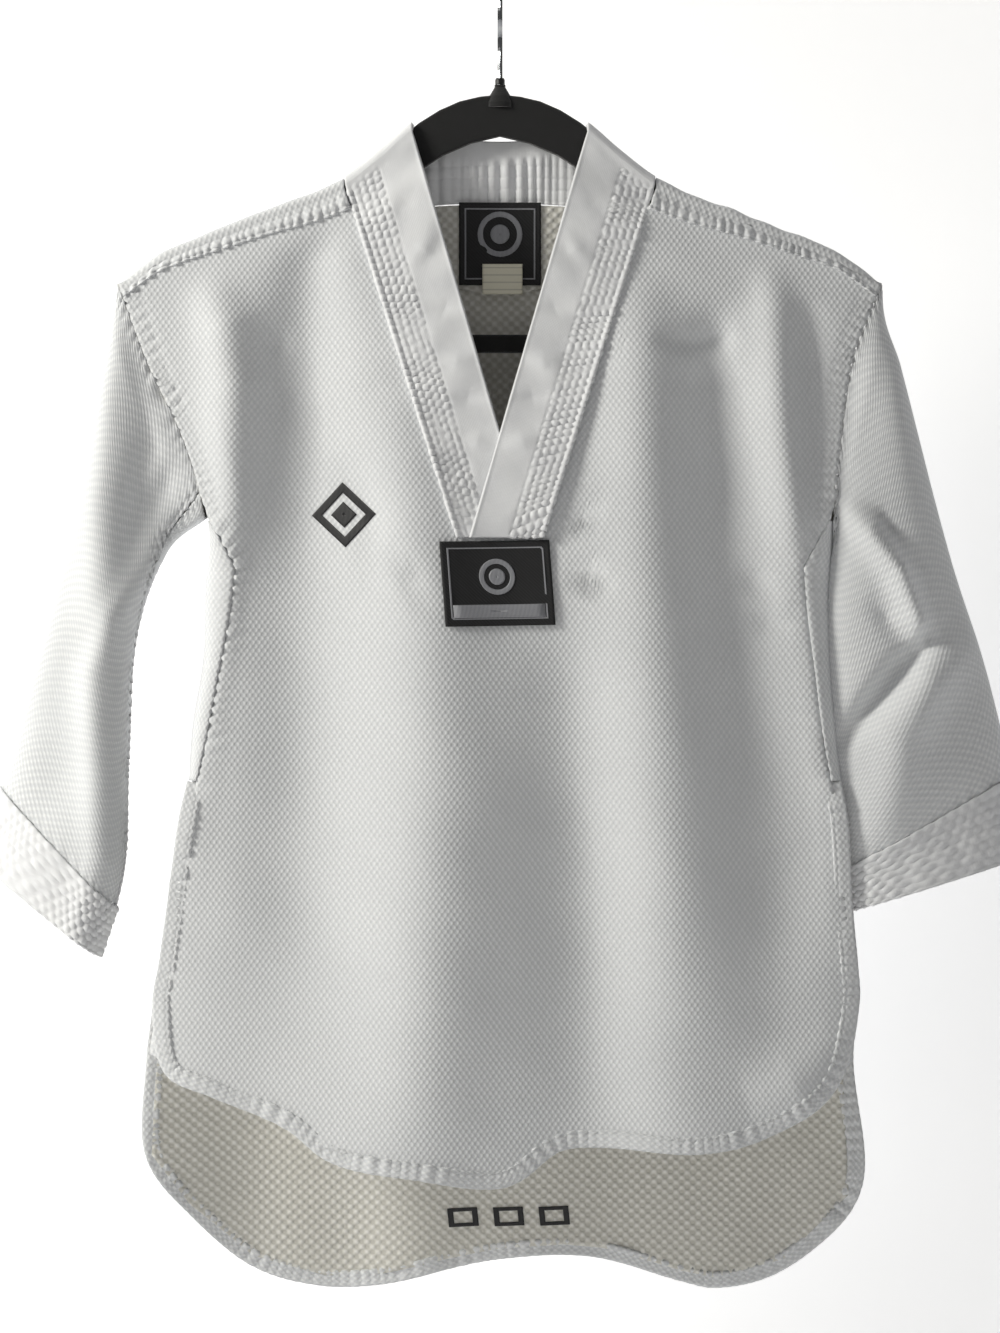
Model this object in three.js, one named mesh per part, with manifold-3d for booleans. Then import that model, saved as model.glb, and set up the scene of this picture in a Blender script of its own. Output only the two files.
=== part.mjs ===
// A V-neck martial arts jacket of ribbed cotton, hung on a slim flocked hanger.
// Millimetres, +Z up, +X to the right of someone facing it, its front towards -Y.
// Origin: where a rail touches the inside of the hanger's hook.
import * as THREE from 'three';
import { mergeVertices } from 'three/addons/utils/BufferGeometryUtils.js';
import Module from 'manifold-3d';

const wasm = await Module();
wasm.setup();

// ---- Cloth and clearances ----
const GAP = 0.45; // between pieces that are sewn or laid together
const SEAT = 0.8; // between the hanger's edge and the cloth that lies on it
const CLOTH = 1.6; // ribbed body cloth
const BAND = 2.4; // collar, neckband and cuff, several layers quilted together
const HEM_CLOTH = 2.4; // hem, folded twice
const HEM_WIDTH = 8;
const FACING = 1.2;
const LABEL = 1.0;
const STITCHING = 0.6; // embroidery stands this proud

// ---- Hook and hanger ----
const WIRE_RADIUS = 1.75;
const HOOK_RADIUS = 20; // inside of the loop
const HOOK_SWEEP = 205; // degrees of loop from its back round to its tip
const HOOK_DROP = 80.5; // rail down to the top of the hanger's arch
const HANGER_HALF = 210;
const HANGER_THICK = 5.5;
const HANGER_ROUND = 1.3; // edge rounding
const ARCH_SIDE = [54, 20.5]; // where the arch steepens: across, and down from its top
const ARM_ROOT = [96, 54]; // where the arch runs out into the arm
const ARCH_DEPTH = 26;
const ARM_DEPTH = 17;
const ARM_END = 10; // the arm's top turns down this far short of the hanger's end
const BAR_DROP = 148.8; // arch top down to the trouser bar's top
const BAR_DEPTH = 11.2;
const BAR_HALF = 181;
const NECK_HEIGHT = 6; // neck above the arch
const NECK_RADIUS = 3.4;
const SWIVEL_PLAY = 0.35;
const HEAD_RADIUS = 2.3; // upset end that keeps the wire in the neck
const HEAD_HEIGHT = 2.2;
const HEAD_DROP = 5; // arch's top down to the underside of that end

// ---- Jacket, across ----
const NECK_HALF = 54; // inner edge of the collar on the hanger
const COLLAR_HALF = 96; // outer edge of the collar on the hanger
const SHOULDER_OVERHANG = 25; // shoulder tip beyond the hanger's end
const CHEST_HALF = 190;
const VENT_HALF = 205;
const HEM_HALF = 219;
const V_HALF = 27; // half width of the V's foot, outer edge to outer edge
const V_CROSS = 18.5; // a collar's inner edge passes the centre line by this
const SIDE_SHOW = 20; // side panel seen from the front

// ---- Jacket, down from the arch's top ----
const SHOULDER_DROP = 118; // to the shoulder tip
const ARMHOLE_DEPTH = 146;
const NECKBAND_TOP = 26;
const NECKBAND_FOOT = 65.5;
const FACING_FOOT = 122;
const V_FOOT = 275.5;
const VENT_TOP = 424.5;
const FRONT_SIDE_FOOT = 590; // where the front tail's corner starts
const FRONT_FOOT = 665;
const BACK_SIDE_FOOT = 625;
const BACK_FOOT = 738;
const YOKE_AT_NECK = 20;
const YOKE_AT_TIP = 8;
const YOKE_GAP = 0.8; // the yoke's folded edge stands clear of the panel under it

// ---- Sleeves ----
const CUFF_OUTER = [328, 472]; // across, and down from the arch's top
const CUFF_INNER = [232, 510];
const CUFF_DEPTH = 47;
const SLEEVE_LENGTH = 371; // along the outer edge
const SLEEVE_ROUND = 17; // half depth of the hanging sleeve
const SLEEVE_TURN = 34; // the underarm edge turns forward by this at the cuff
const GUSSET_REACH = 0.34; // share of the sleeve that the gusset runs down

// ---- Patches and embroidery ----
const PATCH = { across: 67, down: 52, x: -1.5 };
const NECK_LABEL = { across: 51, down: 50 };
const SIZE_LABEL = { across: 25, down: 19, x: 1.5, top: 103.5 };
const EMBLEM = { x: -96, down: 261, half: 20, band: 4.5, core: 8 };
const TAIL_MARK = { across: 19, down: 12, pitch: 29, band: 2.4, x: 5.5, foot: 34 };

const top = -HOOK_DROP;
const tipX = HANGER_HALF + SHOULDER_OVERHANG;
const tipZ = top - SHOULDER_DROP;
const armpitZ = tipZ - ARMHOLE_DEPTH;
const ventZ = top - VENT_TOP;
const vZ = top - V_FOOT;

const cotton = { color: 0xe9ebf2, roughness: 0.9, metalness: 0 };
const satinCotton = { color: 0xf0f1f6, roughness: 0.75, metalness: 0 };
const blackTwill = { color: 0x17171a, roughness: 0.8, metalness: 0 };
const creamTape = { color: 0xe6e0cf, roughness: 0.8, metalness: 0 };
const flock = { color: 0x0b0b0d, roughness: 1, metalness: 0 };
const chrome = { color: 0xc9ccd0, roughness: 0.18, metalness: 1 };
const plastic = { color: 0x111113, roughness: 0.5, metalness: 0 };

const jacket = new THREE.Group();

function add(name, geometry, finish) {
  const mesh = new THREE.Mesh(geometry, new THREE.MeshStandardMaterial(finish));
  mesh.name = name;
  jacket.add(mesh);
}

const mix = (a, b, t) => a + (b - a) * t;
const spread = (a, b, count) => Array.from({ length: count + 1 }, (_, i) => mix(a, b, i / count));

// A smooth curve through [position, value] knots, straight beyond its ends.
function profile(knots) {
  const rise = (i) => (knots[i + 1][1] - knots[i][1]) / (knots[i + 1][0] - knots[i][0]);
  const last = knots.length - 1;
  const slope = knots.map((_, i) => {
    if (i === 0) return rise(0);
    if (i === last) return rise(last - 1);
    return (rise(i - 1) + rise(i)) / 2;
  });
  return (at) => {
    if (at <= knots[0][0]) return knots[0][1] + slope[0] * (at - knots[0][0]);
    if (at >= knots[last][0]) return knots[last][1] + slope[last] * (at - knots[last][0]);
    const i = knots.findIndex(([position]) => position > at) - 1;
    const span = knots[i + 1][0] - knots[i][0];
    const t = (at - knots[i][0]) / span;
    const bend = t * t * (3 - 2 * t);
    return mix(knots[i][1], knots[i + 1][1], bend)
      + span * t * (1 - t) * (slope[i] * (1 - t) - slope[i + 1] * t);
  };
}

// A closed mesh with shared corners, no collapsed faces, and its faces turned outwards.
function closed(geometry) {
  geometry.deleteAttribute('normal');
  geometry.deleteAttribute('uv');
  const merged = mergeVertices(geometry, 1e-4);
  const place = merged.getAttribute('position');
  const [a, b, c] = [new THREE.Vector3(), new THREE.Vector3(), new THREE.Vector3()];
  const faces = [];
  let volume = 0;
  for (let i = 0; i < merged.getIndex().count; i += 3) {
    const face = [0, 1, 2].map((corner) => merged.getIndex().getX(i + corner));
    if (new Set(face).size < 3) continue;
    faces.push(face);
    a.fromBufferAttribute(place, face[0]);
    b.fromBufferAttribute(place, face[1]);
    c.fromBufferAttribute(place, face[2]);
    volume += a.dot(b.cross(c));
  }
  merged.setIndex(faces.flatMap(([p, q, r]) => (volume < 0 ? [q, p, r] : [p, q, r])));
  return merged;
}

// A closed sheet: place(u, v) is its middle surface, keep() can leave cells out of it, and in
// a sheared one each cell is cut across its shorter diagonal.
function sheet(place, us, vs, thick, { ring = false, keep = () => true, shear = false } = {}) {
  const step = 1e-3;
  const columns = us.length;
  const wide = ring ? columns : columns - 1;
  const tall = vs.length - 1;
  const layer = columns * vs.length;
  const positions = [];
  for (const side of [1, -1]) {
    for (const v of vs) {
      for (const u of us) {
        const along = place(u + step, v).sub(place(u - step, v));
        const normal = place(u, v + step).sub(place(u, v - step)).cross(along).normalize();
        positions.push(...place(u, v).addScaledVector(normal, (side * thick) / 2).toArray());
      }
    }
  }
  const used = (i, j) => j >= 0 && j < tall && (ring || (i >= 0 && i < wide))
    && keep((i + wide) % wide, j);
  const corner = (i, j) => (i % columns) + j * columns;
  const faces = [];
  const point = (at) => new THREE.Vector3().fromArray(positions, 3 * at);
  const apart = (one, other) => (shear ? point(one).distanceTo(point(other)) : 0);
  const quad = (a, b, c, d) => faces.push(a, b, c, a, c, d);
  const back = (a, b, c, d) => faces.push(a, c, b, a, d, c);
  for (let j = 0; j < tall; j += 1) {
    for (let i = 0; i < wide; i += 1) {
      if (!used(i, j)) continue;
      const [a, b, c, d] = [corner(i, j), corner(i + 1, j), corner(i + 1, j + 1), corner(i, j + 1)];
      const cut = apart(b, d) < apart(a, c) ? [b, c, d, a] : [a, b, c, d];
      quad(...cut);
      back(...cut.map((at) => at + layer));
      if (!used(i, j - 1)) quad(b, a, a + layer, b + layer);
      if (!used(i, j + 1)) quad(d, c, c + layer, d + layer);
      if (!used(i - 1, j)) quad(a, d, d + layer, a + layer);
      if (!used(i + 1, j)) quad(c, b, b + layer, c + layer);
    }
  }
  const geometry = new THREE.BufferGeometry();
  geometry.setAttribute('position', new THREE.Float32BufferAttribute(positions, 3));
  geometry.setIndex(faces);
  return closed(geometry);
}

function toSolid(geometry) {
  const merged = closed(geometry);
  return new wasm.Manifold(new wasm.Mesh({
    numProp: 3,
    vertProperties: new Float32Array(merged.getAttribute('position').array),
    triVerts: new Uint32Array(merged.getIndex().array),
  }));
}

function fromSolid(solid) {
  const { vertProperties, triVerts } = solid.getMesh();
  const geometry = new THREE.BufferGeometry();
  geometry.setAttribute('position', new THREE.Float32BufferAttribute(vertProperties, 3));
  geometry.setIndex(new THREE.Uint32BufferAttribute(triVerts, 1));
  return geometry;
}

function post(radius, from, to, sides = 24) {
  const rod = new THREE.CylinderGeometry(radius, radius, to - from, sides);
  return rod.rotateX(Math.PI / 2).translate(0, 0, (from + to) / 2);
}

// ---- The hanger's outline, which the neck and shoulders of the jacket lie on ----
// Height of the upper edge: a round arch that runs out into two nearly straight arms.
const armFoot = tipZ + 22; // height of the arm's top near its end
const [rootX, rootZ] = [ARM_ROOT[0], top - ARM_ROOT[1]];
const armTopX = HANGER_HALF - ARM_END;
const armMiddle = [mix(rootX, armTopX, 0.52), mix(rootZ, armFoot, 0.52)];
const hangerTop = profile([
  [0, top], [20, top - 2.8], [36, top - 9], [ARCH_SIDE[0], top - ARCH_SIDE[1]], [72, top - 36],
  [rootX, rootZ], armMiddle, [armTopX, armFoot],
]);
const hangerFoot = profile([
  [0, top - ARCH_DEPTH], [30, top - ARCH_DEPTH - 8.5], [48, top - 46.5],
  [rootX, rootZ - ARM_DEPTH], [armMiddle[0], armMiddle[1] - ARM_DEPTH],
  [HANGER_HALF - 32, armFoot + 7.5 - ARM_DEPTH],
]);
const barTop = top - BAR_DROP;
const barFoot = barTop - BAR_DEPTH;

function hangerOutline() {
  const right = spread(0, armTopX, 16).map((x) => [x, hangerTop(x)]);
  const tip = HANGER_HALF - 3;
  right.push([tip, armFoot - 3.5], [HANGER_HALF, armFoot - 9], [tip, armFoot - 17]);
  right.push([BAR_HALF + 12, mix(armFoot, barFoot, 0.72)], [BAR_HALF + 7, barFoot + 6]);
  right.push([BAR_HALF, barFoot]);
  const left = right.slice(1).reverse().map(([x, z]) => [-x, z]);
  const shape = new THREE.Shape([...right, ...left].map(([x, z]) => new THREE.Vector2(x, z)));
  const innerHalf = HANGER_HALF - 32;
  const inner = spread(0, innerHalf, 10).map((x) => [x, hangerFoot(x)]);
  inner.push([innerHalf + 6, armFoot - 16], [innerHalf + 8, armFoot - 23]);
  inner.push([BAR_HALF - 1, barTop + 8], [BAR_HALF - 4, barTop + 2], [BAR_HALF - 10, barTop]);
  const mirrored = inner.slice(1).reverse().map(([x, z]) => [-x, z]);
  const gap = [...inner, ...mirrored].reverse(); // a hole runs the other way round
  shape.holes.push(new THREE.Path(gap.map(([x, z]) => new THREE.Vector2(x, z))));
  return shape;
}

function hangerFrame() {
  const plate = new THREE.ExtrudeGeometry(hangerOutline(), {
    depth: HANGER_THICK - 2 * HANGER_ROUND,
    bevelThickness: HANGER_ROUND,
    bevelSize: HANGER_ROUND,
    bevelOffset: -HANGER_ROUND,
    bevelSegments: 2,
  }).rotateX(Math.PI / 2).translate(0, HANGER_THICK / 2 - HANGER_ROUND, 0);
  const flare = [
    [0, -8], [8, -8], [8, -5], [6.6, -1], [4.6, 2.5], [NECK_RADIUS, 4.5],
    [NECK_RADIUS, NECK_HEIGHT], [0, NECK_HEIGHT],
  ].map(([radius, height]) => new THREE.Vector2(radius, height));
  const neck = new THREE.LatheGeometry(flare, 32).rotateX(Math.PI / 2);
  neck.scale(1, 0.72, 1).translate(0, 0, top);
  const headFoot = top - HEAD_DROP;
  const bore = post(WIRE_RADIUS + SWIVEL_PLAY, headFoot, top + NECK_HEIGHT + 1);
  const headTop = headFoot + HEAD_HEIGHT;
  const pocket = post(HEAD_RADIUS + SWIVEL_PLAY, headFoot - SWIVEL_PLAY, headTop + SWIVEL_PLAY);
  const solid = toSolid(plate).add(toSolid(neck));
  return fromSolid(solid.subtract(toSolid(bore)).subtract(toSolid(pocket)));
}

// The loop stands across the hanger. It leans back from the stem, passes over the rail and
// comes down in front, so that the rail's contact lies right above the stem.
function hookWire() {
  const headFoot = top - HEAD_DROP;
  const centre = HOOK_RADIUS + WIRE_RADIUS;
  const points = [
    new THREE.Vector3(0, 0, headFoot + HEAD_HEIGHT / 2), new THREE.Vector3(0, 0, top + 12),
    new THREE.Vector3(0, 0, -HOOK_RADIUS - centre - 12),
    new THREE.Vector3(0, 4, -HOOK_RADIUS - centre - 2),
  ];
  const start = -48;
  for (const degrees of spread(start, start + HOOK_SWEEP + 20, 14)) {
    const angle = THREE.MathUtils.degToRad(degrees);
    const height = centre * Math.sin(angle) - HOOK_RADIUS;
    points.push(new THREE.Vector3(0, centre * Math.cos(angle), height));
  }
  const round = new THREE.Path().absarc(0, 0, WIRE_RADIUS, 0, 2 * Math.PI);
  const section = new THREE.Shape(round.getPoints(3));
  const wire = new THREE.ExtrudeGeometry(section, {
    steps: 60, extrudePath: new THREE.CatmullRomCurve3(points), bevelEnabled: false,
  });
  const head = post(HEAD_RADIUS, headFoot, headFoot + HEAD_HEIGHT, 16);
  return fromSolid(toSolid(wire).add(toSolid(head)));
}

function ferrule() {
  const foot = top + NECK_HEIGHT + GAP;
  const inner = WIRE_RADIUS + SWIVEL_PLAY;
  const ring = [[inner, 0], [3, 0], [3, 2.4], [2.6, 3.6], [inner, 3.6], [inner, 0]]
    .map(([radius, height]) => new THREE.Vector2(radius, height));
  return closed(new THREE.LatheGeometry(ring, 20).rotateX(Math.PI / 2).translate(0, 0, foot));
}

add('hanger_hook', hookWire(), chrome);
add('hook_ferrule', ferrule(), plastic);
add('hanger_frame', hangerFrame(), flock);

// ---- The jacket's surface: two faces, each a height field over the hanging silhouette ----
// Cloth of a given thickness lies on the hanger's edge, and runs on to the shoulder tip.
function layOnHanger(x, thick) {
  const steepness = (hangerTop(x + 1) - hangerTop(x - 1)) / 2;
  return hangerTop(x) + (SEAT + thick / 2) * Math.hypot(1, steepness);
}
const shoulderEnd = profile([
  [armTopX, layOnHanger(armTopX, CLOTH)],
  [HANGER_HALF + 2, armFoot - 4], [tipX, tipZ],
]);
const crest = (x, thick) => (Math.abs(x) <= armTopX
  ? layOnHanger(Math.abs(x), thick) : shoulderEnd(Math.abs(x)));
const crestHalf = (thick) => HANGER_THICK / 2 + 2 * SEAT + thick / 2;

const armholeX = (z) => mix(tipX, CHEST_HALF, (tipZ - z) / ARMHOLE_DEPTH);
const bodyHalf = profile([
  [top - FRONT_SIDE_FOOT, HEM_HALF], [ventZ, VENT_HALF], [mix(armpitZ, ventZ, 0.45), CHEST_HALF + 5],
  [armpitZ, CHEST_HALF],
]);
const halfWidth = (z) => {
  if (z > armpitZ) return armholeX(z);
  return bodyHalf(Math.max(z, top - FRONT_SIDE_FOOT));
};
const benchZ = Math.min(vZ, armpitZ) - 30; // from here down the rows of all panels agree
function sideInset(z) {
  if (z > benchZ) return mix(3, SIDE_SHOW, (armpitZ - z) / (armpitZ - benchZ));
  return mix(SIDE_SHOW, 8, (benchZ - z) / (benchZ - ventZ));
}
const seamHalf = (z) => (z > armpitZ ? armholeX(z) : halfWidth(z) - sideInset(z));

const middleDepth = profile([
  [top - BACK_FOOT, 62], [ventZ, 36], [armpitZ, 27], [tipZ, 20], [top, 14],
]);
const edgeDepth = profile([
  [top - BACK_FOOT, 32], [ventZ, 20], [armpitZ, 15], [tipZ, 10], [top, 8],
]);
// Half depth of the jacket at a point of the silhouette. It opens out below the hanger.
function halfDepth(x, z, half = seamHalf(z)) {
  const share = Math.min(1, Math.abs(x / half));
  const full = mix(middleDepth(z), edgeDepth(z), share ** 3);
  const below = Math.max(0, crest(x, CLOTH) - z);
  return mix(crestHalf(CLOTH), full, 1 - Math.exp(-below / 60));
}
const face = (x, z, side, out = 0, half = undefined) => (
  new THREE.Vector3(x, side * (halfDepth(x, z, half) + out), z));
const FRONT = -1;
const BACK = 1;

// ---- Seam lines on that surface ----
const collarTurnZ = crest(COLLAR_HALF, BAND) - crestHalf(BAND); // where the collar folds over
const collarSlope = (COLLAR_HALF - V_HALF) / (collarTurnZ - vZ);
const armholeSlope = (tipX - CHEST_HALF) / ARMHOLE_DEPTH;
const yokeShare = (x) => (x - COLLAR_HALF) / (tipX - COLLAR_HALF);
const yokeDepth = (x) => mix(YOKE_AT_NECK, YOKE_AT_TIP, yokeShare(x));

// The yoke's ends lean inwards as it comes down, along the collar and along the armhole.
function yokeInward(x, drop) {
  const straight = mix(crestHalf(BAND), 0, yokeShare(x));
  return x - mix(collarSlope, armholeSlope, yokeShare(x)) * Math.max(0, drop - straight);
}

// The yoke's seam under the shoulder, over the silhouette's x.
function yokeSeam(x) {
  let above = x;
  for (let i = 0; i < 20; i += 1) above += x - yokeInward(above, yokeDepth(above));
  return crest(above, CLOTH) - yokeDepth(above);
}
const yokeNeckX = yokeInward(COLLAR_HALF, YOKE_AT_NECK);

function frontTop(x) {
  const across = Math.abs(x);
  if (across >= yokeNeckX) return yokeSeam(across) - YOKE_GAP;
  return vZ + Math.max(-GAP, (across - V_HALF - GAP) / collarSlope);
}
const neckbandFoot = (x) => mix(top - NECKBAND_FOOT, yokeSeam(yokeNeckX), (x / yokeNeckX) ** 2);
function backTop(x) {
  const across = Math.abs(x);
  return across < yokeNeckX ? neckbandFoot(across) - GAP : yokeSeam(across) - YOKE_GAP;
}

// A panel whose columns run from a seam line to the bench level, and on down to the vent.
const lowerRows = 5;
function bodyPanel(side, upperEdge, columns) {
  const half = (z) => seamHalf(z) - GAP / 2;
  const headOf = (u) => {
    let head = armpitZ;
    for (let i = 0; i < 40; i += 1) head = upperEdge(u * half(head));
    return head;
  };
  const place = (u, v) => {
    const z = v < 1 ? mix(headOf(u), benchZ, v) : mix(benchZ, ventZ + GAP / 2, v - 1);
    return face(u * half(z), z, side);
  };
  const armpitRow = (headOf(1) - armpitZ) / (headOf(1) - benchZ);
  const rows = [...spread(0, armpitRow, 5), ...spread(1, 2, lowerRows)];
  return sheet(place, columns, rows, CLOTH, { shear: true });
}
const bothSides = (values) => [...values.slice(1).reverse().map((u) => -u), ...values];
const footColumn = (V_HALF + GAP * (1 - collarSlope)) / seamHalf(vZ); // where the V's slope starts
const neckColumn = yokeNeckX / seamHalf(yokeSeam(yokeNeckX));
const bodyColumns = bothSides([
  0, ...spread(footColumn, neckColumn, 3), ...spread(neckColumn, 1, 7).slice(1),
]);
add('front_panel', bodyPanel(FRONT, frontTop, bodyColumns), cotton);
add('back_panel', bodyPanel(BACK, backTop, bodyColumns), cotton);

// ---- Yokes: a strip folded over each hanger arm, front leg and back leg ----
function yoke(hand) {
  const wide = crestHalf(CLOTH);
  const tall = wide;
  const place = (u, v) => {
    const x = mix(COLLAR_HALF + GAP, tipX - GAP, u);
    const ridge = crest(x, CLOTH);
    const leg = Math.abs(v) - 1;
    if (leg <= 0) {
      const angle = (v * Math.PI) / 2;
      const fallen = tall * (1 - Math.cos(angle));
      return new THREE.Vector3(hand * yokeInward(x, fallen), wide * Math.sin(angle), ridge - fallen);
    }
    const drop = mix(tall, yokeDepth(x), leg);
    const inward = yokeInward(x, drop);
    const ease = Math.min(1, leg * 1.5);
    const depth = mix(wide, halfDepth(inward, ridge - drop), ease);
    return new THREE.Vector3(hand * inward, Math.sign(v) * depth, ridge - drop);
  };
  const over = [-2, -1.6, -1.3, ...spread(-1, 1, 6), 1.3, 1.6, 2];
  const endShare = (armTopX - COLLAR_HALF) / (tipX - COLLAR_HALF);
  const along = [...spread(0, endShare, 7), ...spread(endShare, 1, 3).slice(1)];
  return sheet(place, along, over, CLOTH);
}

// ---- Collar bands: from the V's foot up, and over the hanger to the neckband ----
// The right band lies over the left one below the point where their inner edges cross.
function collar(hand) {
  const wide = crestHalf(BAND);
  const place = (u, v) => {
    const upperX = mix(NECK_HALF, COLLAR_HALF - GAP, u);
    const lowerX = mix(-V_CROSS, V_HALF - GAP, u);
    const ridge = crest(upperX, BAND);
    if (v < 0) {
      const angle = -v * Math.PI;
      const fallen = wide * (1 - Math.sin(angle));
      return new THREE.Vector3(hand * upperX, -wide * Math.cos(angle), ridge - fallen);
    }
    const x = mix(upperX, lowerX, v);
    const z = mix(ridge - wide, vZ, v);
    const lap = hand > 0 ? THREE.MathUtils.smoothstep(v, 0.35, 0.66) * (BAND + GAP) : 0;
    const start = THREE.MathUtils.smoothstep(v, 0, 0.12);
    const depth = mix(wide, halfDepth(x, z) + (BAND - CLOTH) / 2 + lap, start);
    return new THREE.Vector3(hand * x, -depth, z);
  };
  const over = [-0.62, -0.5, -0.36, -0.2];
  const along = [...over, ...spread(0, 0.12, 2), ...spread(0.12, 1, 11).slice(1)];
  return sheet(place, spread(0, 1, 5), along, BAND);
}

for (const [name, hand] of [['left', -1], ['right', 1]]) {
  add(`yoke_${name}`, yoke(hand), cotton);
  add(`collar_${name}`, collar(hand), satinCotton);
}

// ---- Neckband and facing across the back of the neck ----
// The neckband's ends stand close behind the two collar bands' turned ends.
function neckband() {
  const half = COLLAR_HALF - GAP;
  const behind = crestHalf(BAND) + BAND + GAP;
  const place = (u, v) => {
    const x = u * half;
    const across = Math.abs(x);
    const edge = across < NECK_HALF
      ? mix(top - NECKBAND_TOP, crest(NECK_HALF, BAND), (across / NECK_HALF) ** 2)
      : crest(across, BAND);
    const inner = Math.min(across, yokeNeckX);
    const z = mix(edge - 2, neckbandFoot(inner), v);
    const lean = x - Math.sign(x) * Math.max(0, across - yokeNeckX) * v;
    return new THREE.Vector3(lean, mix(behind, halfDepth(lean, z) + (BAND - CLOTH) / 2, v), z);
  };
  return sheet(place, spread(-1, 1, 16), spread(0, 1, 4), BAND);
}

function neckFacing() {
  const half = yokeNeckX - 6;
  const behind = -(CLOTH / 2 + GAP + FACING / 2);
  const place = (u, v) => {
    const x = u * half;
    const foot = mix(top - FACING_FOOT, neckbandFoot(half) - 12, u * u);
    return face(x, mix(neckbandFoot(x) - 1, foot, v), BACK, behind);
  };
  return sheet(place, spread(-1, 1, 12), spread(0, 1, 5), FACING);
}

function neckLabel() {
  const behind = -(CLOTH / 2 + GAP + FACING + GAP + LABEL / 2);
  const head = top - NECKBAND_FOOT - 1.5;
  const { across, down } = NECK_LABEL;
  const place = (u, v) => face((u * across) / 2, head - v * down, BACK, behind);
  return sheet(place, spread(-1, 1, 4), spread(0, 1, 5), LABEL);
}

// The size label hangs straight from its sewn upper edge, in front of the neck label.
function sizeLabel() {
  const head = top - SIZE_LABEL.top;
  const y = halfDepth(0, head) - CLOTH / 2 - FACING - LABEL - 3 * GAP - LABEL / 2;
  const { across, down, x } = SIZE_LABEL;
  return closed(new THREE.BoxGeometry(across, LABEL, down).translate(x, y, head - down / 2));
}

add('back_neckband', neckband(), satinCotton);
add('back_neck_facing', neckFacing(), cotton);
add('neck_label', neckLabel(), blackTwill);
add('size_label', sizeLabel(), creamTape);

// ---- Side panels: a strip round each side from the armpit to the vent ----
function sidePanel(hand) {
  const place = (u, v) => {
    const z = v < 1 ? mix(armpitZ - GAP, benchZ, v) : mix(benchZ, ventZ + GAP / 2, v - 1);
    const angle = u * (Math.PI / 2);
    const seam = seamHalf(z) + GAP / 2;
    const x = seam + (halfWidth(z) - seam) * Math.cos(angle);
    return new THREE.Vector3(hand * x, halfDepth(seam, z) * Math.sin(angle), z);
  };
  return sheet(place, spread(-1, 1, 8), [0, ...spread(1, 2, lowerRows)], CLOTH);
}

// ---- Sleeves: flattened tubes from the armhole to the cuff, underarm edge turned forward ----
// An edge bends through points at shares [across, down] of the way from its start to the cuff.
function sleeveEdge(from, cuffAt, bends) {
  const points = bends.map(([across, turn, down]) => new THREE.Vector3(
    mix(from[0], cuffAt[0], across), turn, mix(from[1], top - cuffAt[1], down),
  ));
  return new THREE.CatmullRomCurve3(points);
}
const outerEdge = sleeveEdge([tipX, tipZ], CUFF_OUTER, [
  [0, 0, 0], [0.18, 0, 0.2], [0.5, 0, 0.55], [1, SLEEVE_TURN * 0.6, 1],
]);
const innerEdge = sleeveEdge([CHEST_HALF, armpitZ], CUFF_INNER, [
  [0, 0, 0], [0.55, -4, 0.16], [0.86, -SLEEVE_TURN * 0.45, 0.45], [1, -SLEEVE_TURN, 1],
]);
const cuffStart = 1 - CUFF_DEPTH / SLEEVE_LENGTH;
const armholeNormal = new THREE.Vector3(ARMHOLE_DEPTH, 0, CHEST_HALF - tipX).normalize();
const sleeveRound = profile([
  [0, edgeDepth(mix(tipZ, armpitZ, 0.5))], [0.4, SLEEVE_ROUND], [1, SLEEVE_ROUND + 3],
]);

// u runs round the tube, from its outer edge at 0 to the underarm edge at a half turn.
function sleevePlace(hand) {
  return (u, v) => {
    const outer = outerEdge.getPointAt(THREE.MathUtils.clamp(v, 0, 1));
    const inner = innerEdge.getPointAt(THREE.MathUtils.clamp(v, 0, 1));
    const axis = outer.clone().sub(inner).multiplyScalar(0.5);
    const round = new THREE.Vector3(0, -1, 0)
      .addScaledVector(axis, axis.y / axis.lengthSq()).normalize();
    const point = outer.add(inner).multiplyScalar(0.5)
      .addScaledVector(axis, Math.cos(2 * Math.PI * u))
      .addScaledVector(round, sleeveRound(v) * Math.sin(2 * Math.PI * u))
      .addScaledVector(armholeNormal, Math.max(0, CLOTH + GAP - v * 30));
    point.x *= hand;
    return point;
  };
}
const ROUND_CELLS = 20;
const GUSSET_CELLS = 4; // of the cells round the sleeve, centred on the underarm edge
const gussetRows = 4;
const SLEEVE_HEAD = 0.002; // shares of the sleeve and of its girth that keep the pieces apart
const SEAM_SHARE = 0.0022;
const sleeveRows = [
  ...spread(SLEEVE_HEAD, GUSSET_REACH, gussetRows),
  ...spread(GUSSET_REACH, cuffStart, 5).slice(1),
];
const roundSteps = spread(0, 1, ROUND_CELLS).slice(0, ROUND_CELLS);

function sleeve(hand) {
  const first = (ROUND_CELLS - GUSSET_CELLS) / 2;
  const keep = (i, j) => j >= gussetRows || i < first || i >= first + GUSSET_CELLS;
  return sheet(sleevePlace(hand), roundSteps, sleeveRows, CLOTH, { ring: true, keep });
}

function gusset(hand) {
  const half = GUSSET_CELLS / 2 / ROUND_CELLS - SEAM_SHARE;
  const across = spread(0.5 - half, 0.5 + half, GUSSET_CELLS);
  const down = spread(SLEEVE_HEAD, GUSSET_REACH - SEAM_SHARE, gussetRows);
  return sheet(sleevePlace(hand), across, down, CLOTH);
}

function cuff(hand) {
  const down = spread(cuffStart + (1.5 * GAP) / SLEEVE_LENGTH, 1 - SLEEVE_HEAD, 3);
  return sheet(sleevePlace(hand), roundSteps, down, BAND, { ring: true });
}

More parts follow.
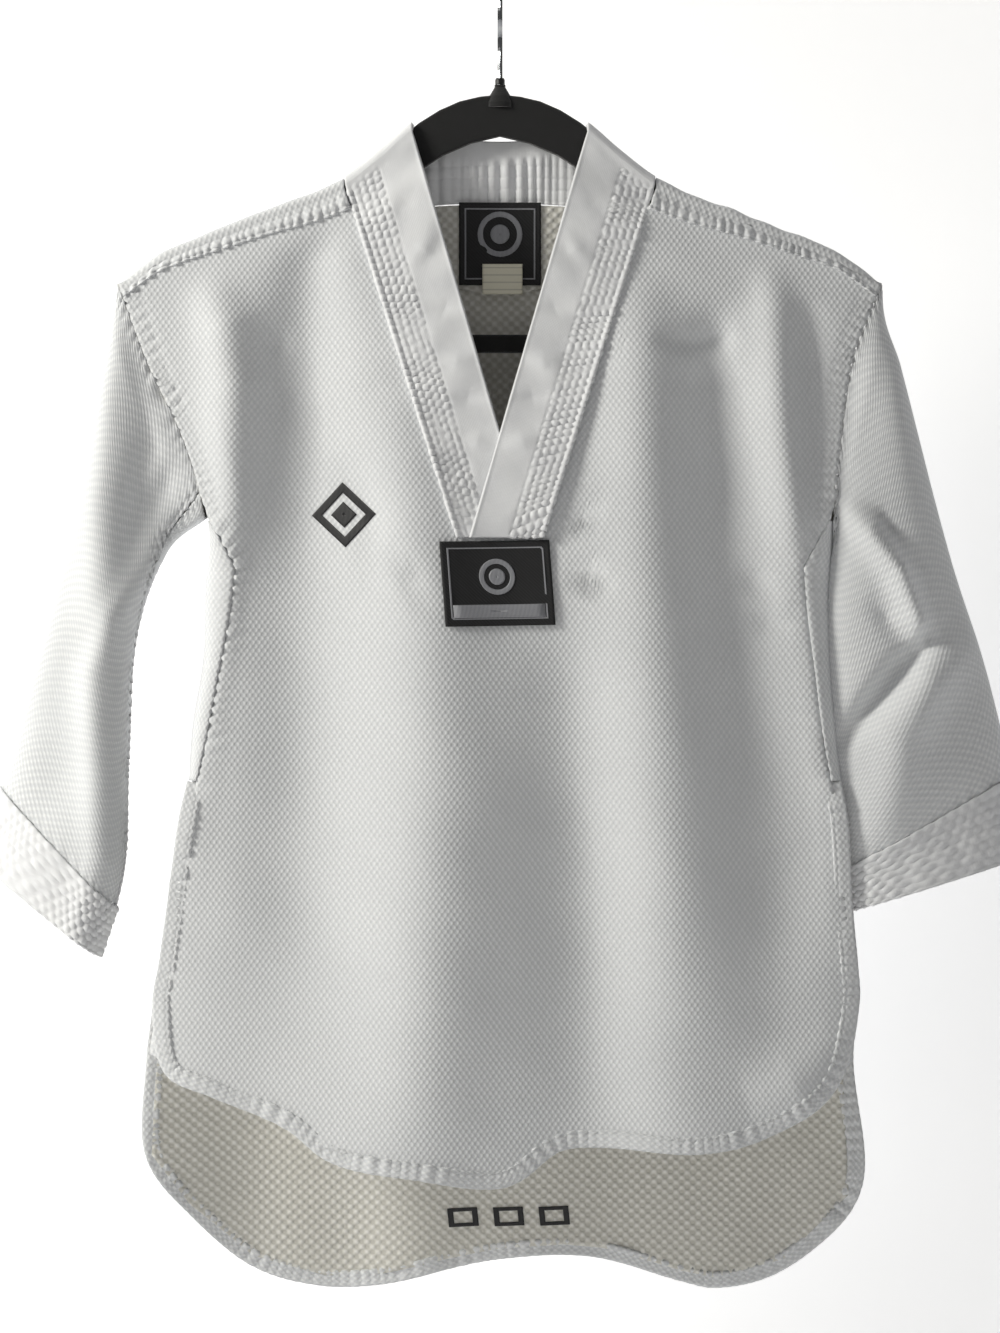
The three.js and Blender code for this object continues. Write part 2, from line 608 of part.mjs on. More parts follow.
for (const [name, hand] of [['left', -1], ['right', 1]]) {
  add(`side_panel_${name}`, sidePanel(hand), cotton);
  add(`sleeve_${name}`, sleeve(hand), cotton);
  add(`sleeve_gusset_${name}`, gusset(hand), cotton);
  add(`cuff_${name}`, cuff(hand), satinCotton);
}

// ---- Tails below the vents, each with a hem down its sides and round its foot ----
// line(u, inset) follows the tail's edge, drawn in by an inset.
function tailShape(sideFoot, foot, roundness) {
  const cornerZ = top - sideFoot;
  const footZ = top - foot;
  const half = (z, inset) => bodyHalf(Math.max(z, cornerZ)) - inset;
  const edgeZ = (u, inset) => mix(footZ + inset, cornerZ, Math.abs(u) ** roundness);
  const line = (u, inset) => {
    const share = Math.abs(u);
    if (share <= 1) return [u * half(cornerZ, inset), edgeZ(u, inset)];
    const z = mix(cornerZ, ventZ - GAP / 2, share - 1);
    return [Math.sign(u) * half(z, inset), z];
  };
  return { half, edgeZ, line };
}

function tailPanel(shape, side) {
  const inset = HEM_WIDTH + GAP;
  const place = (u, v) => {
    const z = mix(ventZ - GAP / 2, shape.edgeZ(u, inset), v);
    return face(u * shape.half(z, inset), z, side, 0, shape.half(z, 0));
  };
  const columns = bothSides([0, 0.2, 0.4, 0.58, 0.73, 0.85, 0.94, 1]);
  return sheet(place, columns, spread(0, 1, 7), CLOTH);
}

function tailHem(shape, side) {
  const place = (u, v) => {
    const [x, z] = shape.line(u, v * HEM_WIDTH);
    return face(x, z, side, 0, shape.half(z, 0));
  };
  const along = bothSides([0, 0.2, 0.4, 0.58, 0.73, 0.85, 0.94, 1, 1.3, 1.65, 2]);
  return sheet(place, along, [0, 1], HEM_CLOTH);
}

const frontTail = tailShape(FRONT_SIDE_FOOT, FRONT_FOOT, 3.5);
const backTail = tailShape(BACK_SIDE_FOOT, BACK_FOOT, 6);
add('front_tail', tailPanel(frontTail, FRONT), cotton);
add('front_hem', tailHem(frontTail, FRONT), cotton);
add('back_tail', tailPanel(backTail, BACK), cotton);
add('back_hem', tailHem(backTail, BACK), cotton);

// ---- Chest patch and embroidery on the front, and three small marks inside the back tail ----
// A flat frame or plate laid on the cloth: corners are [across, up] from its centre.
function applied(centre, rim, core, out, thick, side, half = undefined) {
  const turn = rim.length;
  const rows = core ? [0, 1] : [0, 0.5, 1];
  const place = (u, v) => {
    const at = ((u % turn) + turn) % turn;
    const i = Math.floor(at) % turn;
    const t = at - Math.floor(at);
    const across = mix(rim[i][0], rim[(i + 1) % turn][0], t) * mix(core, 1, v);
    const up = mix(rim[i][1], rim[(i + 1) % turn][1], t) * mix(core, 1, v);
    return face(centre[0] + across, centre[1] + up, side, out, half);
  };
  return sheet(place, spread(0, turn, turn * 2).slice(0, turn * 2), rows, thick, { ring: true });
}

function patch() {
  const out = CLOTH / 2 + GAP + LABEL / 2;
  const head = vZ - 1.5;
  const place = (u, v) => face(PATCH.x + (u * PATCH.across) / 2, head - v * PATCH.down, FRONT, out);
  return sheet(place, spread(-1, 1, 4), spread(0, 1, 3), LABEL);
}

const lozenge = (half) => [[half, 0], [0, half], [-half, 0], [0, -half]];
const oblong = (across, up) => [[across, up], [-across, up], [-across, -up], [across, -up]];
const proud = CLOTH / 2 + GAP / 1.5 + STITCHING / 2;
const emblemAt = [EMBLEM.x, top - EMBLEM.down];

function lozengePlate() {
  const place = (u, v) => {
    const across = (u + v) * (EMBLEM.core / 2);
    const up = (u - v) * (EMBLEM.core / 2);
    return face(emblemAt[0] + across, emblemAt[1] + up, FRONT, proud);
  };
  return sheet(place, [-1, 0, 1], [-1, 0, 1], STITCHING);
}

add('chest_patch', patch(), blackTwill);
const emblemInside = 1 - (EMBLEM.band / EMBLEM.half) * Math.SQRT2;
add('chest_emblem_rim', applied(
  emblemAt, lozenge(EMBLEM.half), emblemInside, proud, STITCHING, FRONT,
), blackTwill);
add('chest_emblem_core', lozengePlate(), blackTwill);

for (const [number, step] of [[1, -1], [2, 0], [3, 1]]) {
  const { across, down, pitch, band, x, foot } = TAIL_MARK;
  const rim = oblong(across / 2, down / 2);
  const markZ = top - BACK_FOOT + foot;
  const inside = 1 - (2 * band) / down;
  add(`tail_mark_${number}`, applied(
    [x + step * pitch, markZ], rim, inside, -proud, STITCHING, BACK, backTail.half(markZ, 0),
  ), blackTwill);
}

export default jacket;
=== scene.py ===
# A white ribbed V-neck martial arts jacket on a slim flocked hanger, built up in the order
# it is made: the room, the hanger, the body cloths, then collar, neck, sleeves, hems and labels.
import math

import bpy
import numpy as np
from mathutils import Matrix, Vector


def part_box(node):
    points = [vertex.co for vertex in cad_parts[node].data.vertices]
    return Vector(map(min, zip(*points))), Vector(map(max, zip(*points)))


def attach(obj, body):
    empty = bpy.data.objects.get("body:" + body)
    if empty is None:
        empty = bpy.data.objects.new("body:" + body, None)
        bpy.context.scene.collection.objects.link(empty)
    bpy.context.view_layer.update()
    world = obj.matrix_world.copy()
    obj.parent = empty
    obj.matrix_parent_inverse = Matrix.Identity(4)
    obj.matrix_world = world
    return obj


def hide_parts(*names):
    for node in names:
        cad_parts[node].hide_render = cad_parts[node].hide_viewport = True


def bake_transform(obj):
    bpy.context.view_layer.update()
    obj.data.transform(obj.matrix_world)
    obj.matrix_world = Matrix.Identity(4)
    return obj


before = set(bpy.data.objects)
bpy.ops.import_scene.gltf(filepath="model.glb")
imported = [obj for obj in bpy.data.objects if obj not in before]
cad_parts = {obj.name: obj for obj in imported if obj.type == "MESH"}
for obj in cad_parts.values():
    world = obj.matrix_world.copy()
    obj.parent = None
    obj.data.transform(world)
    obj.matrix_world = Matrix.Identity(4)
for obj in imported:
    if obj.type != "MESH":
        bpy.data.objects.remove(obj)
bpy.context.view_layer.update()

# ---- Room ----
# A white painted wall that runs out into a pale floor in one bend, a short way behind the
# jacket, with one large window to the upper left. The camera stands level with the chest.
MM = 0.001
scene = bpy.context.scene
scene.view_settings.view_transform = "Standard"


def node(tree, kind, inputs, **settings):
    made = tree.nodes.new(kind)
    for name, value in settings.items():
        setattr(made, name, value)
    for name, value in inputs.items():
        if isinstance(value, bpy.types.NodeSocket):
            tree.links.new(value, made.inputs[name])
        else:
            made.inputs[name].default_value = value
    return made


def linear(code):
    shares = [int(code[i:i + 2], 16) / 255 for i in (1, 3, 5)]
    return [s / 12.92 if s <= 0.04045 else ((s + 0.055) / 1.055) ** 2.4 for s in shares] + [1]


def finish_of(name):
    material = bpy.data.materials.new(name)
    material.use_nodes = True
    tree = material.node_tree
    return material, tree, tree.nodes["Principled BSDF"]


def mesh_piece(name, corners, faces, materials):
    mesh = bpy.data.meshes.new(name)
    mesh.from_pydata((np.asarray(corners) * MM).tolist(), [], np.asarray(faces).tolist())
    for material in materials:
        mesh.materials.append(material)
    mesh.polygons.foreach_set("use_smooth", np.ones(len(mesh.polygons), bool))
    piece = bpy.data.objects.new(name, mesh)
    scene.collection.objects.link(piece)
    return piece


wall_paint, tree, shader = finish_of("white_wall_paint")
shader.inputs["Base Color"].default_value = linear("#F6F6F7")
shader.inputs["Roughness"].default_value = 0.95
grain = node(tree, "ShaderNodeTexNoise", {"Scale": 60.0, "Detail": 3.0})
plaster = node(tree, "ShaderNodeBump", {"Strength": 0.05, "Distance": 0.001, "Height": grain.outputs["Fac"]})
tree.links.new(plaster.outputs["Normal"], shader.inputs["Normal"])
sided = node(tree, "ShaderNodeNewGeometry", {})  # the wall has one face only, so it hides nothing from behind
clear = node(tree, "ShaderNodeBsdfTransparent", {})
faced = node(
    tree, "ShaderNodeMixShader",
    {0: sided.outputs["Backfacing"], 1: shader.outputs[0], 2: clear.outputs[0]},
)
tree.links.new(faced.outputs[0], tree.nodes["Material Output"].inputs["Surface"])

WALL_Y, FLOOR_Z, BEND = 210, -1300, 350
turn = np.linspace(0, math.pi / 2, 17)
profile_y = np.concatenate([[-4200], WALL_Y - BEND + BEND * np.sin(turn), [WALL_Y]])
profile_z = np.concatenate([[FLOOR_Z], FLOOR_Z + BEND - BEND * np.cos(turn), [1900]])
cove = [(x, y, z) for y, z in zip(profile_y, profile_z) for x in (-3500, 3500)]
cove_faces = [(2 * i, 2 * i + 1, 2 * i + 3, 2 * i + 2) for i in range(len(profile_y) - 1)]
room = mesh_piece("wall_and_floor", cove, cove_faces, [wall_paint, wall_paint.copy()])
lit = room.data.materials[1].node_tree.nodes["Principled BSDF"]  # daylight that the wall gets from the room
lit.inputs["Emission Color"].default_value = linear("#FFFFFF")
lit.inputs["Emission Strength"].default_value = 0.4
room.data.polygons.foreach_set("material_index", np.minimum(np.arange(len(cove_faces)), 1))

CAMERA_AWAY, VIEW_TALL, EYE_Z = 2.2, 0.826, -0.4348
camera = bpy.data.objects.new("camera", bpy.data.cameras.new("camera"))
camera.data.lens = 36 * CAMERA_AWAY / VIEW_TALL
camera.location = (0, -CAMERA_AWAY, EYE_Z)
camera.rotation_euler = (math.pi / 2, 0, 0)
scene.collection.objects.link(camera)
scene.camera = camera


def window(name, place, aim, size, watts, tint):
    lamp = bpy.data.lights.new(name, "AREA")
    lamp.size, lamp.energy, lamp.color = size, watts, linear(tint)[:3]
    lamp_object = bpy.data.objects.new(name, lamp)
    lamp_object.location = place
    lamp_object.rotation_euler = (Vector(aim) - Vector(place)).to_track_quat("-Z", "Y").to_euler()
    scene.collection.objects.link(lamp_object)


window("window_left", (-1.8, -0.75, 0.45), (0, 0, -0.42), 0.55, 37, "#FFFDF5")
window("ceiling_bounce", (0.5, -1.6, 1.5), (0, 0.1, -0.4), 1.6, 1.5, "#FBFAFF")
world = bpy.data.worlds.new("room_light")
world.use_nodes = True
world.node_tree.nodes["Background"].inputs["Color"].default_value = linear("#F7F6F3")
world.node_tree.nodes["Background"].inputs["Strength"].default_value = 0.24
scene.world = world

# ---- Hook and ferrule ----
# A 3.5 mm steel wire bent to a loop, bright chromed so it mirrors the room in hard streaks,
# with fine drawing marks along it. A small moulded black plastic collar closes the neck.
chrome, tree, shader = finish_of("chromed_steel_wire")
shader.inputs["Metallic"].default_value = 1.0
shader.inputs["Roughness"].default_value = 0.13
WIRE_MARK_MM = 0.8
marks = node(tree, "ShaderNodeTexNoise", {"Scale": 1000 / WIRE_MARK_MM, "Detail": 2.0})
tone = node(
    tree, "ShaderNodeMix", {"Factor": marks.outputs["Fac"], 6: linear("#74767A"), 7: linear("#94969A")},
    data_type="RGBA",
)
tree.links.new(tone.outputs[2], shader.inputs["Base Color"])
scuffs = node(tree, "ShaderNodeBump", {"Strength": 0.08, "Distance": 0.0001, "Height": marks.outputs["Fac"]})
tree.links.new(scuffs.outputs["Normal"], shader.inputs["Normal"])

black_plastic, tree, shader = finish_of("moulded_black_polypropylene")
shader.inputs["Roughness"].default_value = 0.42
specks = node(tree, "ShaderNodeTexNoise", {"Scale": 900.0, "Detail": 3.0})
tone = node(
    tree, "ShaderNodeMix", {"Factor": specks.outputs["Fac"], 6: linear("#101012"), 7: linear("#1B1B1E")},
    data_type="RGBA",
)
tree.links.new(tone.outputs[2], shader.inputs["Base Color"])


def refinish(name, material):
    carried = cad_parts[name]
    carried.data.materials.clear()
    carried.data.materials.append(material)


refinish("hanger_hook", chrome)
refinish("hook_ferrule", black_plastic)

# ---- Hanger frame ----
# A thin moulded hanger flocked with short black nylon fibre. The pile stands up, so the face
# stays matt black and only the edges catch a faint grey bloom.
flock, tree, shader = finish_of("black_nylon_flock")
shader.inputs["Roughness"].default_value = 1.0
shader.inputs["Specular IOR Level"].default_value = 0.15
shader.inputs["Sheen Weight"].default_value = 0.35
shader.inputs["Sheen Roughness"].default_value = 0.6
PILE_MM = 0.9
pile = node(tree, "ShaderNodeTexNoise", {"Scale": 1000 / PILE_MM, "Detail": 4.0, "Roughness": 0.7})
worn = node(tree, "ShaderNodeTexNoise", {"Scale": 22.0, "Detail": 2.0})
tone = node(
    tree, "ShaderNodeMix", {"Factor": worn.outputs["Fac"], 6: linear("#060607"), 7: linear("#121214")},
    data_type="RGBA",
)
tree.links.new(tone.outputs[2], shader.inputs["Base Color"])
nap = node(tree, "ShaderNodeBump", {"Strength": 0.6, "Distance": 0.0004, "Height": pile.outputs["Fac"]})
tree.links.new(nap.outputs["Normal"], shader.inputs["Normal"])
refinish("hanger_frame", flock)

# ---- Front cloth ----
# Cotton and polyester woven on a dobby loom, so rows of small floats stand proud in columns.
# One piece from the yokes and the V down to the curved hem; it hangs in long soft folds
# from the hanger's arms and from the weight of the band at the V.
CLOTH, BAND, GAP, SEAT = 1.6, 2.4, 0.45, 0.8
HANGER_THICK, TOP = 5.5, -80.5
TIP_X, TIP_Z, ARMPIT_Z, VENT_Z, V_Z = 235, -198.5, -344.5, -505, -356


def curve(at, knots):
    """A smooth line through (position, value) knots, straight beyond its ends."""
    where, value = (np.array(k, float) for k in zip(*sorted(knots)))
    slope = np.diff(value) / np.diff(where)
    slope = np.concatenate([slope[:1], (slope[1:] + slope[:-1]) / 2, slope[-1:]])
    at = np.asarray(at, float)
    i = np.clip(np.searchsorted(where, at) - 1, 0, len(where) - 2)
    span = where[i + 1] - where[i]
    t = np.clip((at - where[i]) / span, 0, 1)
    bend = t * t * (3 - 2 * t)
    steep = slope[i] * (1 - t) - slope[i + 1] * t
    inside = value[i] + (value[i + 1] - value[i]) * bend + span * t * (1 - t) * steep
    beyond = np.minimum(at - where[0], 0) * slope[0] + np.maximum(at - where[-1], 0) * slope[-1]
    return inside + beyond


def mix(a, b, t):
    return a + (b - a) * t


def ease(t):
    t = np.clip(t, 0, 1)
    return t * t * (3 - 2 * t)


def crest(x, thick=CLOTH):
    """Height of cloth that lies on the hanger and runs on to the shoulder tip."""
    arm = [
        (0, -80.5), (20, -83.3), (36, -89.5), (54, -101), (72, -116.5), (96, -134.5), (150, -156.3),
        (200, -176.5),
    ]
    x = np.abs(x)
    steep = (curve(x + 1, arm) - curve(x - 1, arm)) / 2
    on_hanger = curve(x, arm) + (SEAT + thick / 2) * np.hypot(1, steep)
    return np.where(x < 200, on_hanger, curve(x, [(190, -171), (200, -175), (212, -180.5), (TIP_X, TIP_Z)]))


def crest_half(thick):
    return HANGER_THICK / 2 + 2 * SEAT + thick / 2


# The two sides of the hanging body differ: the left armhole is drawn in, the right one hangs straight.
EDGE = {
    -1: [
        (-760, 222), (-673, 218), (-611, 209), (-536, 199), (-480, 190), (-418, 183), (-380, 181),
        (-344, 181), (-319, 186), (-288, 197), (-251, 215), (-198.5, 235),
    ],
    1: [
        (-760, 221), (-670, 219), (-642, 221), (-580, 217), (-536, 215), (-477, 208), (-420, 205),
        (-350, 205), (-297, 209), (-245, 217), (-198.5, 235),
    ],
}
INSET = [
    (-760, 2), (-600, 5), (-505, 8), (-440, 12), (-400, 16), (-374, 18), (-344.5, 2), (-330, -1),
    (-198, -1),
]


def edge(side, z):
    return curve(z, EDGE[side])


def seam_edge(side, z):
    return edge(side, z) - np.interp(z, *zip(*INSET))


def depth(x, z):
    """Half depth of the hanging jacket, before its folds."""
    middle = curve(z, [(-818.5, 62), (-505, 36), (-344.5, 27), (-198.5, 20), (-80.5, 14)])
    side = curve(z, [(-818.5, 32), (-505, 20), (-344.5, 15), (-198.5, 10), (-80.5, 8)])
    half = np.where(x < 0, edge(-1, z), edge(1, z))
    full = mix(middle, side, np.minimum(1, np.abs(x / half)) ** 3)
    below = np.maximum(0, crest(x) - z)
    return mix(crest_half(CLOTH), full, 1 - np.exp(-below / 60))


def folds(x, z, strokes):
    """Each stroke is a fold along points (across, up, width, height)."""
    total = np.zeros_like(x)
    for stroke in strokes:
        near = np.full(x.shape, np.inf)
        wide, tall = np.ones_like(x), np.zeros_like(x)
        for a, b in zip(stroke[:-1], stroke[1:]):
            run = np.array([b[0] - a[0], b[1] - a[1]], float)
            t = np.clip(((x - a[0]) * run[0] + (z - a[1]) * run[1]) / (run @ run), 0, 1)
            away = np.hypot(x - a[0] - t * run[0], z - a[1] - t * run[1])
            nearer = away < near
            near = np.where(nearer, away, near)
            wide = np.where(nearer, mix(a[2], b[2], t), wide)
            tall = np.where(nearer, mix(a[3], b[3], t), tall)
        total += tall * np.exp(-(near / wide) ** 2)
    return total


def wander(x, z, size, seed):
    """Smooth irregular waves about one high, of roughly the given size."""
    rng = np.random.default_rng(seed)
    total = np.zeros(np.broadcast(x, z).shape)
    for _ in range(7):
        angle, phase = rng.uniform(0, 2 * math.pi, 2)
        pitch = size * rng.uniform(0.7, 1.6)
        total += np.sin(2 * math.pi * (x * math.cos(angle) + z * math.sin(angle)) / pitch + phase)
    return total / 3


def pucker(along, away, pitch, reach, seed):
    """Short creases square to a row of stitches, which draws the cloth up unevenly."""
    drift = along + pitch * 0.5 * wander(along, away * 0.4, 6 * pitch, seed)
    strength = 1 + 0.5 * wander(along, 0, 9 * pitch, seed + 1)
    return strength * np.sin(2 * math.pi * drift / pitch + 0.25 * away) * np.exp(-(away / reach) ** 2)


def along_line(x, z, line):
    """(distance from a line of points, how far along it) for each place on the cloth."""
    near, far = np.full(np.shape(x), np.inf), np.zeros(np.shape(x))
    run = 0.0
    for a, b in zip(line[:-1], line[1:]):
        step = np.array([b[0] - a[0], b[1] - a[1]], float)
        long = math.hypot(*step)
        t = np.clip(((x - a[0]) * step[0] + (z - a[1]) * step[1]) / long ** 2, 0, 1)
        away = np.hypot(x - a[0] - t * step[0], z - a[1] - t * step[1])
        far = np.where(away < near, run + t * long, far)
        near = np.minimum(near, away)
        run += long
    return near, far


def seam(x, z, line, seed, sink=0.9, lift=0.55, pitch=6.0, reach=8.0):
    """A topstitched seam: a groove along the line, with puckers on both sides of it."""
    away, along = along_line(x, z, line)
    return lift * pucker(along, away, pitch, reach, seed) - sink * np.exp(-(away / 1.3) ** 2)


def cloth(name, places, thick, weave, faces_out, ring=False):
    """A closed sheet round a grid of middle points (rows down, columns across), in millimetres.
    faces_out holds the finish of the face along across x down, and of the other face."""
    rows, columns = places.shape[:2]
    wrapped = np.concatenate([places[:, -1:], places, places[:, :1]], 1) if ring else places
    across = np.gradient(wrapped, axis=1)
    across = across[:, 1:-1] if ring else across
    out = np.cross(across, np.gradient(places, axis=0))
    out /= np.linalg.norm(out, axis=2, keepdims=True) + 1e-9
    corners = np.concatenate([(places + way * out * thick / 2).reshape(-1, 3) for way in (1, -1)])
    wide = columns if ring else columns - 1
    i, j = (g.ravel() for g in np.meshgrid(np.arange(rows - 1), np.arange(wide), indexing="ij"))

    def corner(row, column):
        return row * columns + column % columns

    a, b, c, d = corner(i, j), corner(i, j + 1), corner(i + 1, j + 1), corner(i + 1, j)
    layer = rows * columns
    quads = [np.stack([a, b, c, d], 1), np.stack([d, c, b, a], 1) + layer]
    cells = [np.stack([(i, j), (i, j + 1), (i + 1, j + 1), (i + 1, j)], 0).transpose(2, 0, 1)]
    cells.append(cells[0][:, ::-1])
    k = np.arange(wide)
    rim = []
    for r, swap in ((0, 1), (rows - 1, 0)):
        p, q = corner(r, k), corner(r, k + 1)
        quad = np.stack([q, p, p + layer, q + layer], 1)
        cell = np.stack(
            [(k * 0 + r, k + 1), (k * 0 + r, k), (k * 0 + r, k), (k * 0 + r, k + 1)], 0,
        ).transpose(2, 0, 1)
        rim.append((quad if swap else quad[:, ::-1], cell if swap else cell[:, ::-1]))
    if not ring:
        k = np.arange(rows - 1)
        for c0, swap in ((0, 1), (columns - 1, 0)):
            p, q = corner(k, c0), corner(k + 1, c0)
            quad = np.stack([p, q, q + layer, p + layer], 1)
            cell = np.stack(
                [(k, k * 0 + c0), (k + 1, k * 0 + c0), (k + 1, k * 0 + c0), (k, k * 0 + c0)], 0,
            ).transpose(2, 0, 1)
            rim.append((quad if swap else quad[:, ::-1], cell if swap else cell[:, ::-1]))
    quads += [quad for quad, _ in rim]
    cells += [cell for _, cell in rim]
    piece = mesh_piece(name, corners, np.concatenate(quads), faces_out)
    which = np.zeros(len(piece.data.polygons), np.int32)
    which[len(quads[0]):2 * len(quads[0])] = len(faces_out) - 1
    piece.data.polygons.foreach_set("material_index", which)
    cell = np.concatenate(cells).reshape(-1, 2)
    layout = piece.data.uv_layers.new(name="weave")
    layout.data.foreach_set("uv", (weave[cell[:, 0], cell[:, 1]] * MM).astype(np.float32).ravel())
    return piece


def woven_cotton(name, light, shade, across_mm, along_mm, rise_mm, seed):
    """Staggered floats: two sine bands multiplied, their pitch in real millimetres (a band texture
    repeats every 2 pi / 20 of its scale)."""
    material, tree, shader = finish_of(name)
    shader.inputs["Roughness"].default_value = 0.88
    shader.inputs["Specular IOR Level"].default_value = 0.25
    shader.inputs["Sheen Weight"].default_value = 0.12
    shader.inputs["Sheen Roughness"].default_value = 0.5
    place = node(tree, "ShaderNodeTexCoord", {})
    waves = []
    for direction, pitch in (("X", across_mm), ("Y", along_mm)):
        band = node(tree, "ShaderNodeTexWave", {
            "Vector": place.outputs["UV"], "Scale": 2 * math.pi / 20 / (pitch * MM), "Distortion": 0.0,
        }, wave_type="BANDS", bands_direction=direction)
        signed = node(
            tree, "ShaderNodeMath", {0: band.outputs["Fac"], 1: 2.0, 2: -1.0}, operation="MULTIPLY_ADD",
        )
        waves.append(signed.outputs[0])
    floats = node(tree, "ShaderNodeMath", {0: waves[0], 1: waves[1]}, operation="MULTIPLY")
    height = node(tree, "ShaderNodeMapRange", {"Value": floats.outputs[0], "From Min": -0.5, "From Max": 0.9})
    patchy = node(
        tree, "ShaderNodeTexNoise",
        {"Vector": place.outputs["UV"], "Scale": 14.0, "Detail": 3.0, "W": float(seed)},
        noise_dimensions="4D",
    )
    worn = node(
        tree, "ShaderNodeMapRange",
        {"Value": patchy.outputs["Fac"], "From Min": 0.3, "From Max": 0.7, "To Min": 0.55, "To Max": 1.0},
    )
    # Painted shade: the gaps between the floats take the darker shade colour, so the weave shows in the colour as well
    # as in the bump; the patchy noise also darkens the whole cloth at random.
    show = node(tree, "ShaderNodeMath", {0: height.outputs[0], 1: worn.outputs[0]}, operation="MULTIPLY")
    tone = node(
        tree, "ShaderNodeMix", {"Factor": show.outputs[0], 6: linear(shade), 7: linear(light)},
        data_type="RGBA",
    )
    tree.links.new(tone.outputs[2], shader.inputs["Base Color"])
    relief = node(
        tree, "ShaderNodeBump", {"Strength": 0.75, "Distance": rise_mm * MM, "Height": height.outputs[0]},
    )
    tree.links.new(relief.outputs["Normal"], shader.inputs["Normal"])
    return material


# The floats repeat every 3.6 by 5 mm outside; inside, the back of the weave stands in dots. On both faces the gaps
# between them are painted darker, as painted shade.
ribbed_outside = woven_cotton("ribbed_cotton_outside", "#EDEEEF", "#D5D7DA", 3.6, 5.0, 0.35, 1)
ribbed_inside = woven_cotton("ribbed_cotton_inside", "#EFEEEA", "#C9C7BF", 7.0, 6.4, 0.9, 2)

FRONT_FOOT = [
    (-225, -672), (-205, -684), (-177, -697), (-130, -716), (-105, -734), (-50, -744), (0, -750),
    (12, -746), (37, -729), (62, -727), (124, -730), (161, -722), (205, -694), (225, -672),
]
FRONT_FOLDS = [
    [
        (-184, -190, 12, 0), (-170, -225, 16, 6), (-163, -262, 18, 8), (-166, -330, 18, 7),
        (-190, -418, 18, 5), (-209, -560, 20, 3),
    ],
    [
        (-104, -150, 10, 0), (-116, -186, 18, -5), (-122, -250, 30, -10), (-121, -330, 36, -11),
        (-118, -456, 40, -10), (-124, -580, 42, -9), (-134, -690, 40, -5),
    ],
    [
        (-70, -262, 18, 0), (-58, -310, 26, 4), (-44, -418, 34, 8), (-38, -518, 38, 10),
        (-42, -642, 40, 13), (-52, -745, 40, 12),
    ],
    [(36, -395, 20, 0), (44, -450, 30, -6), (50, -518, 34, -9), (57, -642, 38, -12), (58, -745, 40, -13)],
    [
        (90, -190, 16, 0), (87, -240, 24, 7), (87, -332, 28, 8), (95, -456, 32, 8), (102, -580, 36, 7),
        (100, -720, 40, 4),
    ],
    [
        (133, -226, 14, -3), (130, -260, 20, -8), (134, -344, 24, -9), (152, -456, 28, -9),
        (168, -549, 30, -8), (166, -640, 26, -3), (160, -690, 20, 0),
    ],
    [(92, -234, 6, 0), (112, -236, 6, -3), (134, -234, 7, -3), (146, -228, 7, 0)],
    [(166, -182, 10, 0), (169, -215, 13, 5), (172, -270, 14, 6), (181, -344, 14, 5), (186, -400, 12, 0)],
    [(190, -205, 8, 0), (191, -250, 10, -4), (192, -301, 11, -4), (192, -369, 10, 0)],
    [(38, -349, 5, 0), (50, -347, 5, -1.6), (66, -343, 5, 0)],
    [(38, -381, 6, 0), (54, -381, 6, -1.8), (72, -387, 6, 0)],
    [(143, -372, 7, 0), (156, -382, 8, -2.5), (172, -401, 8, 0)],
    [(150, -402, 7, 0), (164, -408, 7, -2), (182, -412, 7, 0)],
    [(-70, -360, 8, 0), (-54, -380, 8, -2), (-40, -402, 9, 0)],
    [(-130, -226, 6, 0), (-138, -236, 7, -1.6), (-148, -240, 7, 0)],
    [(-95, -300, 12, 0), (-80, -345, 12, -2.5), (-74, -400, 12, 0)],
    [(150, -700, 20, 0), (180, -690, 20, 7), (205, -672, 18, 4)],
]
ARMHOLE = {
    side: [(side * float(edge(side, z)), z) for z in np.linspace(TIP_Z, ARMPIT_Z, 8)] for side in (-1, 1)
}


def front_y(x, z):
    side_fade = ease((np.where(x < 0, edge(-1, z), edge(1, z)) - np.abs(x)) / 26)
    lift = folds(x, z, FRONT_FOLDS) * mix(0.35, 1, side_fade) * mix(0.85, 1.35, ease((z + 745) / 190))
    near_top = ease((crest(x) - z - 4) / 40)
    return -(depth(x, z) + lift * near_top + 0.5 * wander(x, z * 0.6, 46, 11) * near_top)


def front_seams(x, z):
    total = np.zeros_like(x)
    for side in (-1, 1):
        line = [(side * float(seam_edge(side, s)), s) for s in np.linspace(ARMPIT_Z - 6, VENT_Z, 8)]
        total += seam(x, z, line, 31 + side, lift=0.8, pitch=7, reach=9)
        inner = [(px - side * 3, pz) for px, pz in ARMHOLE[side]]
        total += seam(x, z, inner, 35 + side, sink=0.5, lift=0.9, pitch=6, reach=8)
        second_row, _ = along_line(x, z, [(px - side * 9, pz) for px, pz in ARMHOLE[side]])
        total -= 0.5 * np.exp(-(second_row / 1.2) ** 2)
    return total


UNDER = 7  # the cloth's head runs on under the yokes and the collar bands
HEAD = [
    (-238, -199), (-192, -187 + UNDER), (-96, -154 + UNDER), (-88, -154), (-22, V_Z + 2), (0, V_Z + 4),
    (22, V_Z + 2), (88, -154), (96, -154 + UNDER), (192, -186 + UNDER), (238, -199),
]


def panel(head, foot, step=2.6):
    """x and z of a body cloth: rows from its head line to its foot, columns from side to side."""
    share = np.linspace(-1, 1, int(450 / step))
    rows = np.linspace(0, 1, int(600 / step))
    side = np.where(share < 0, -1, 1)
    z = np.full((len(rows), len(share)), -400.0)
    x_edge = np.zeros_like(z)
    for _ in range(30):
        for s in (-1, 1):
            x_edge[:, side == s] = s * seam_edge(s, z[:, side == s])
        x_all = np.abs(share) * x_edge
        top = np.interp(x_all[0], *zip(*head))
        bottom = np.interp(x_all[-1], *zip(*foot))
        z = 0.5 * z + 0.5 * mix(top, bottom, rows[:, None])
    return x_all, z


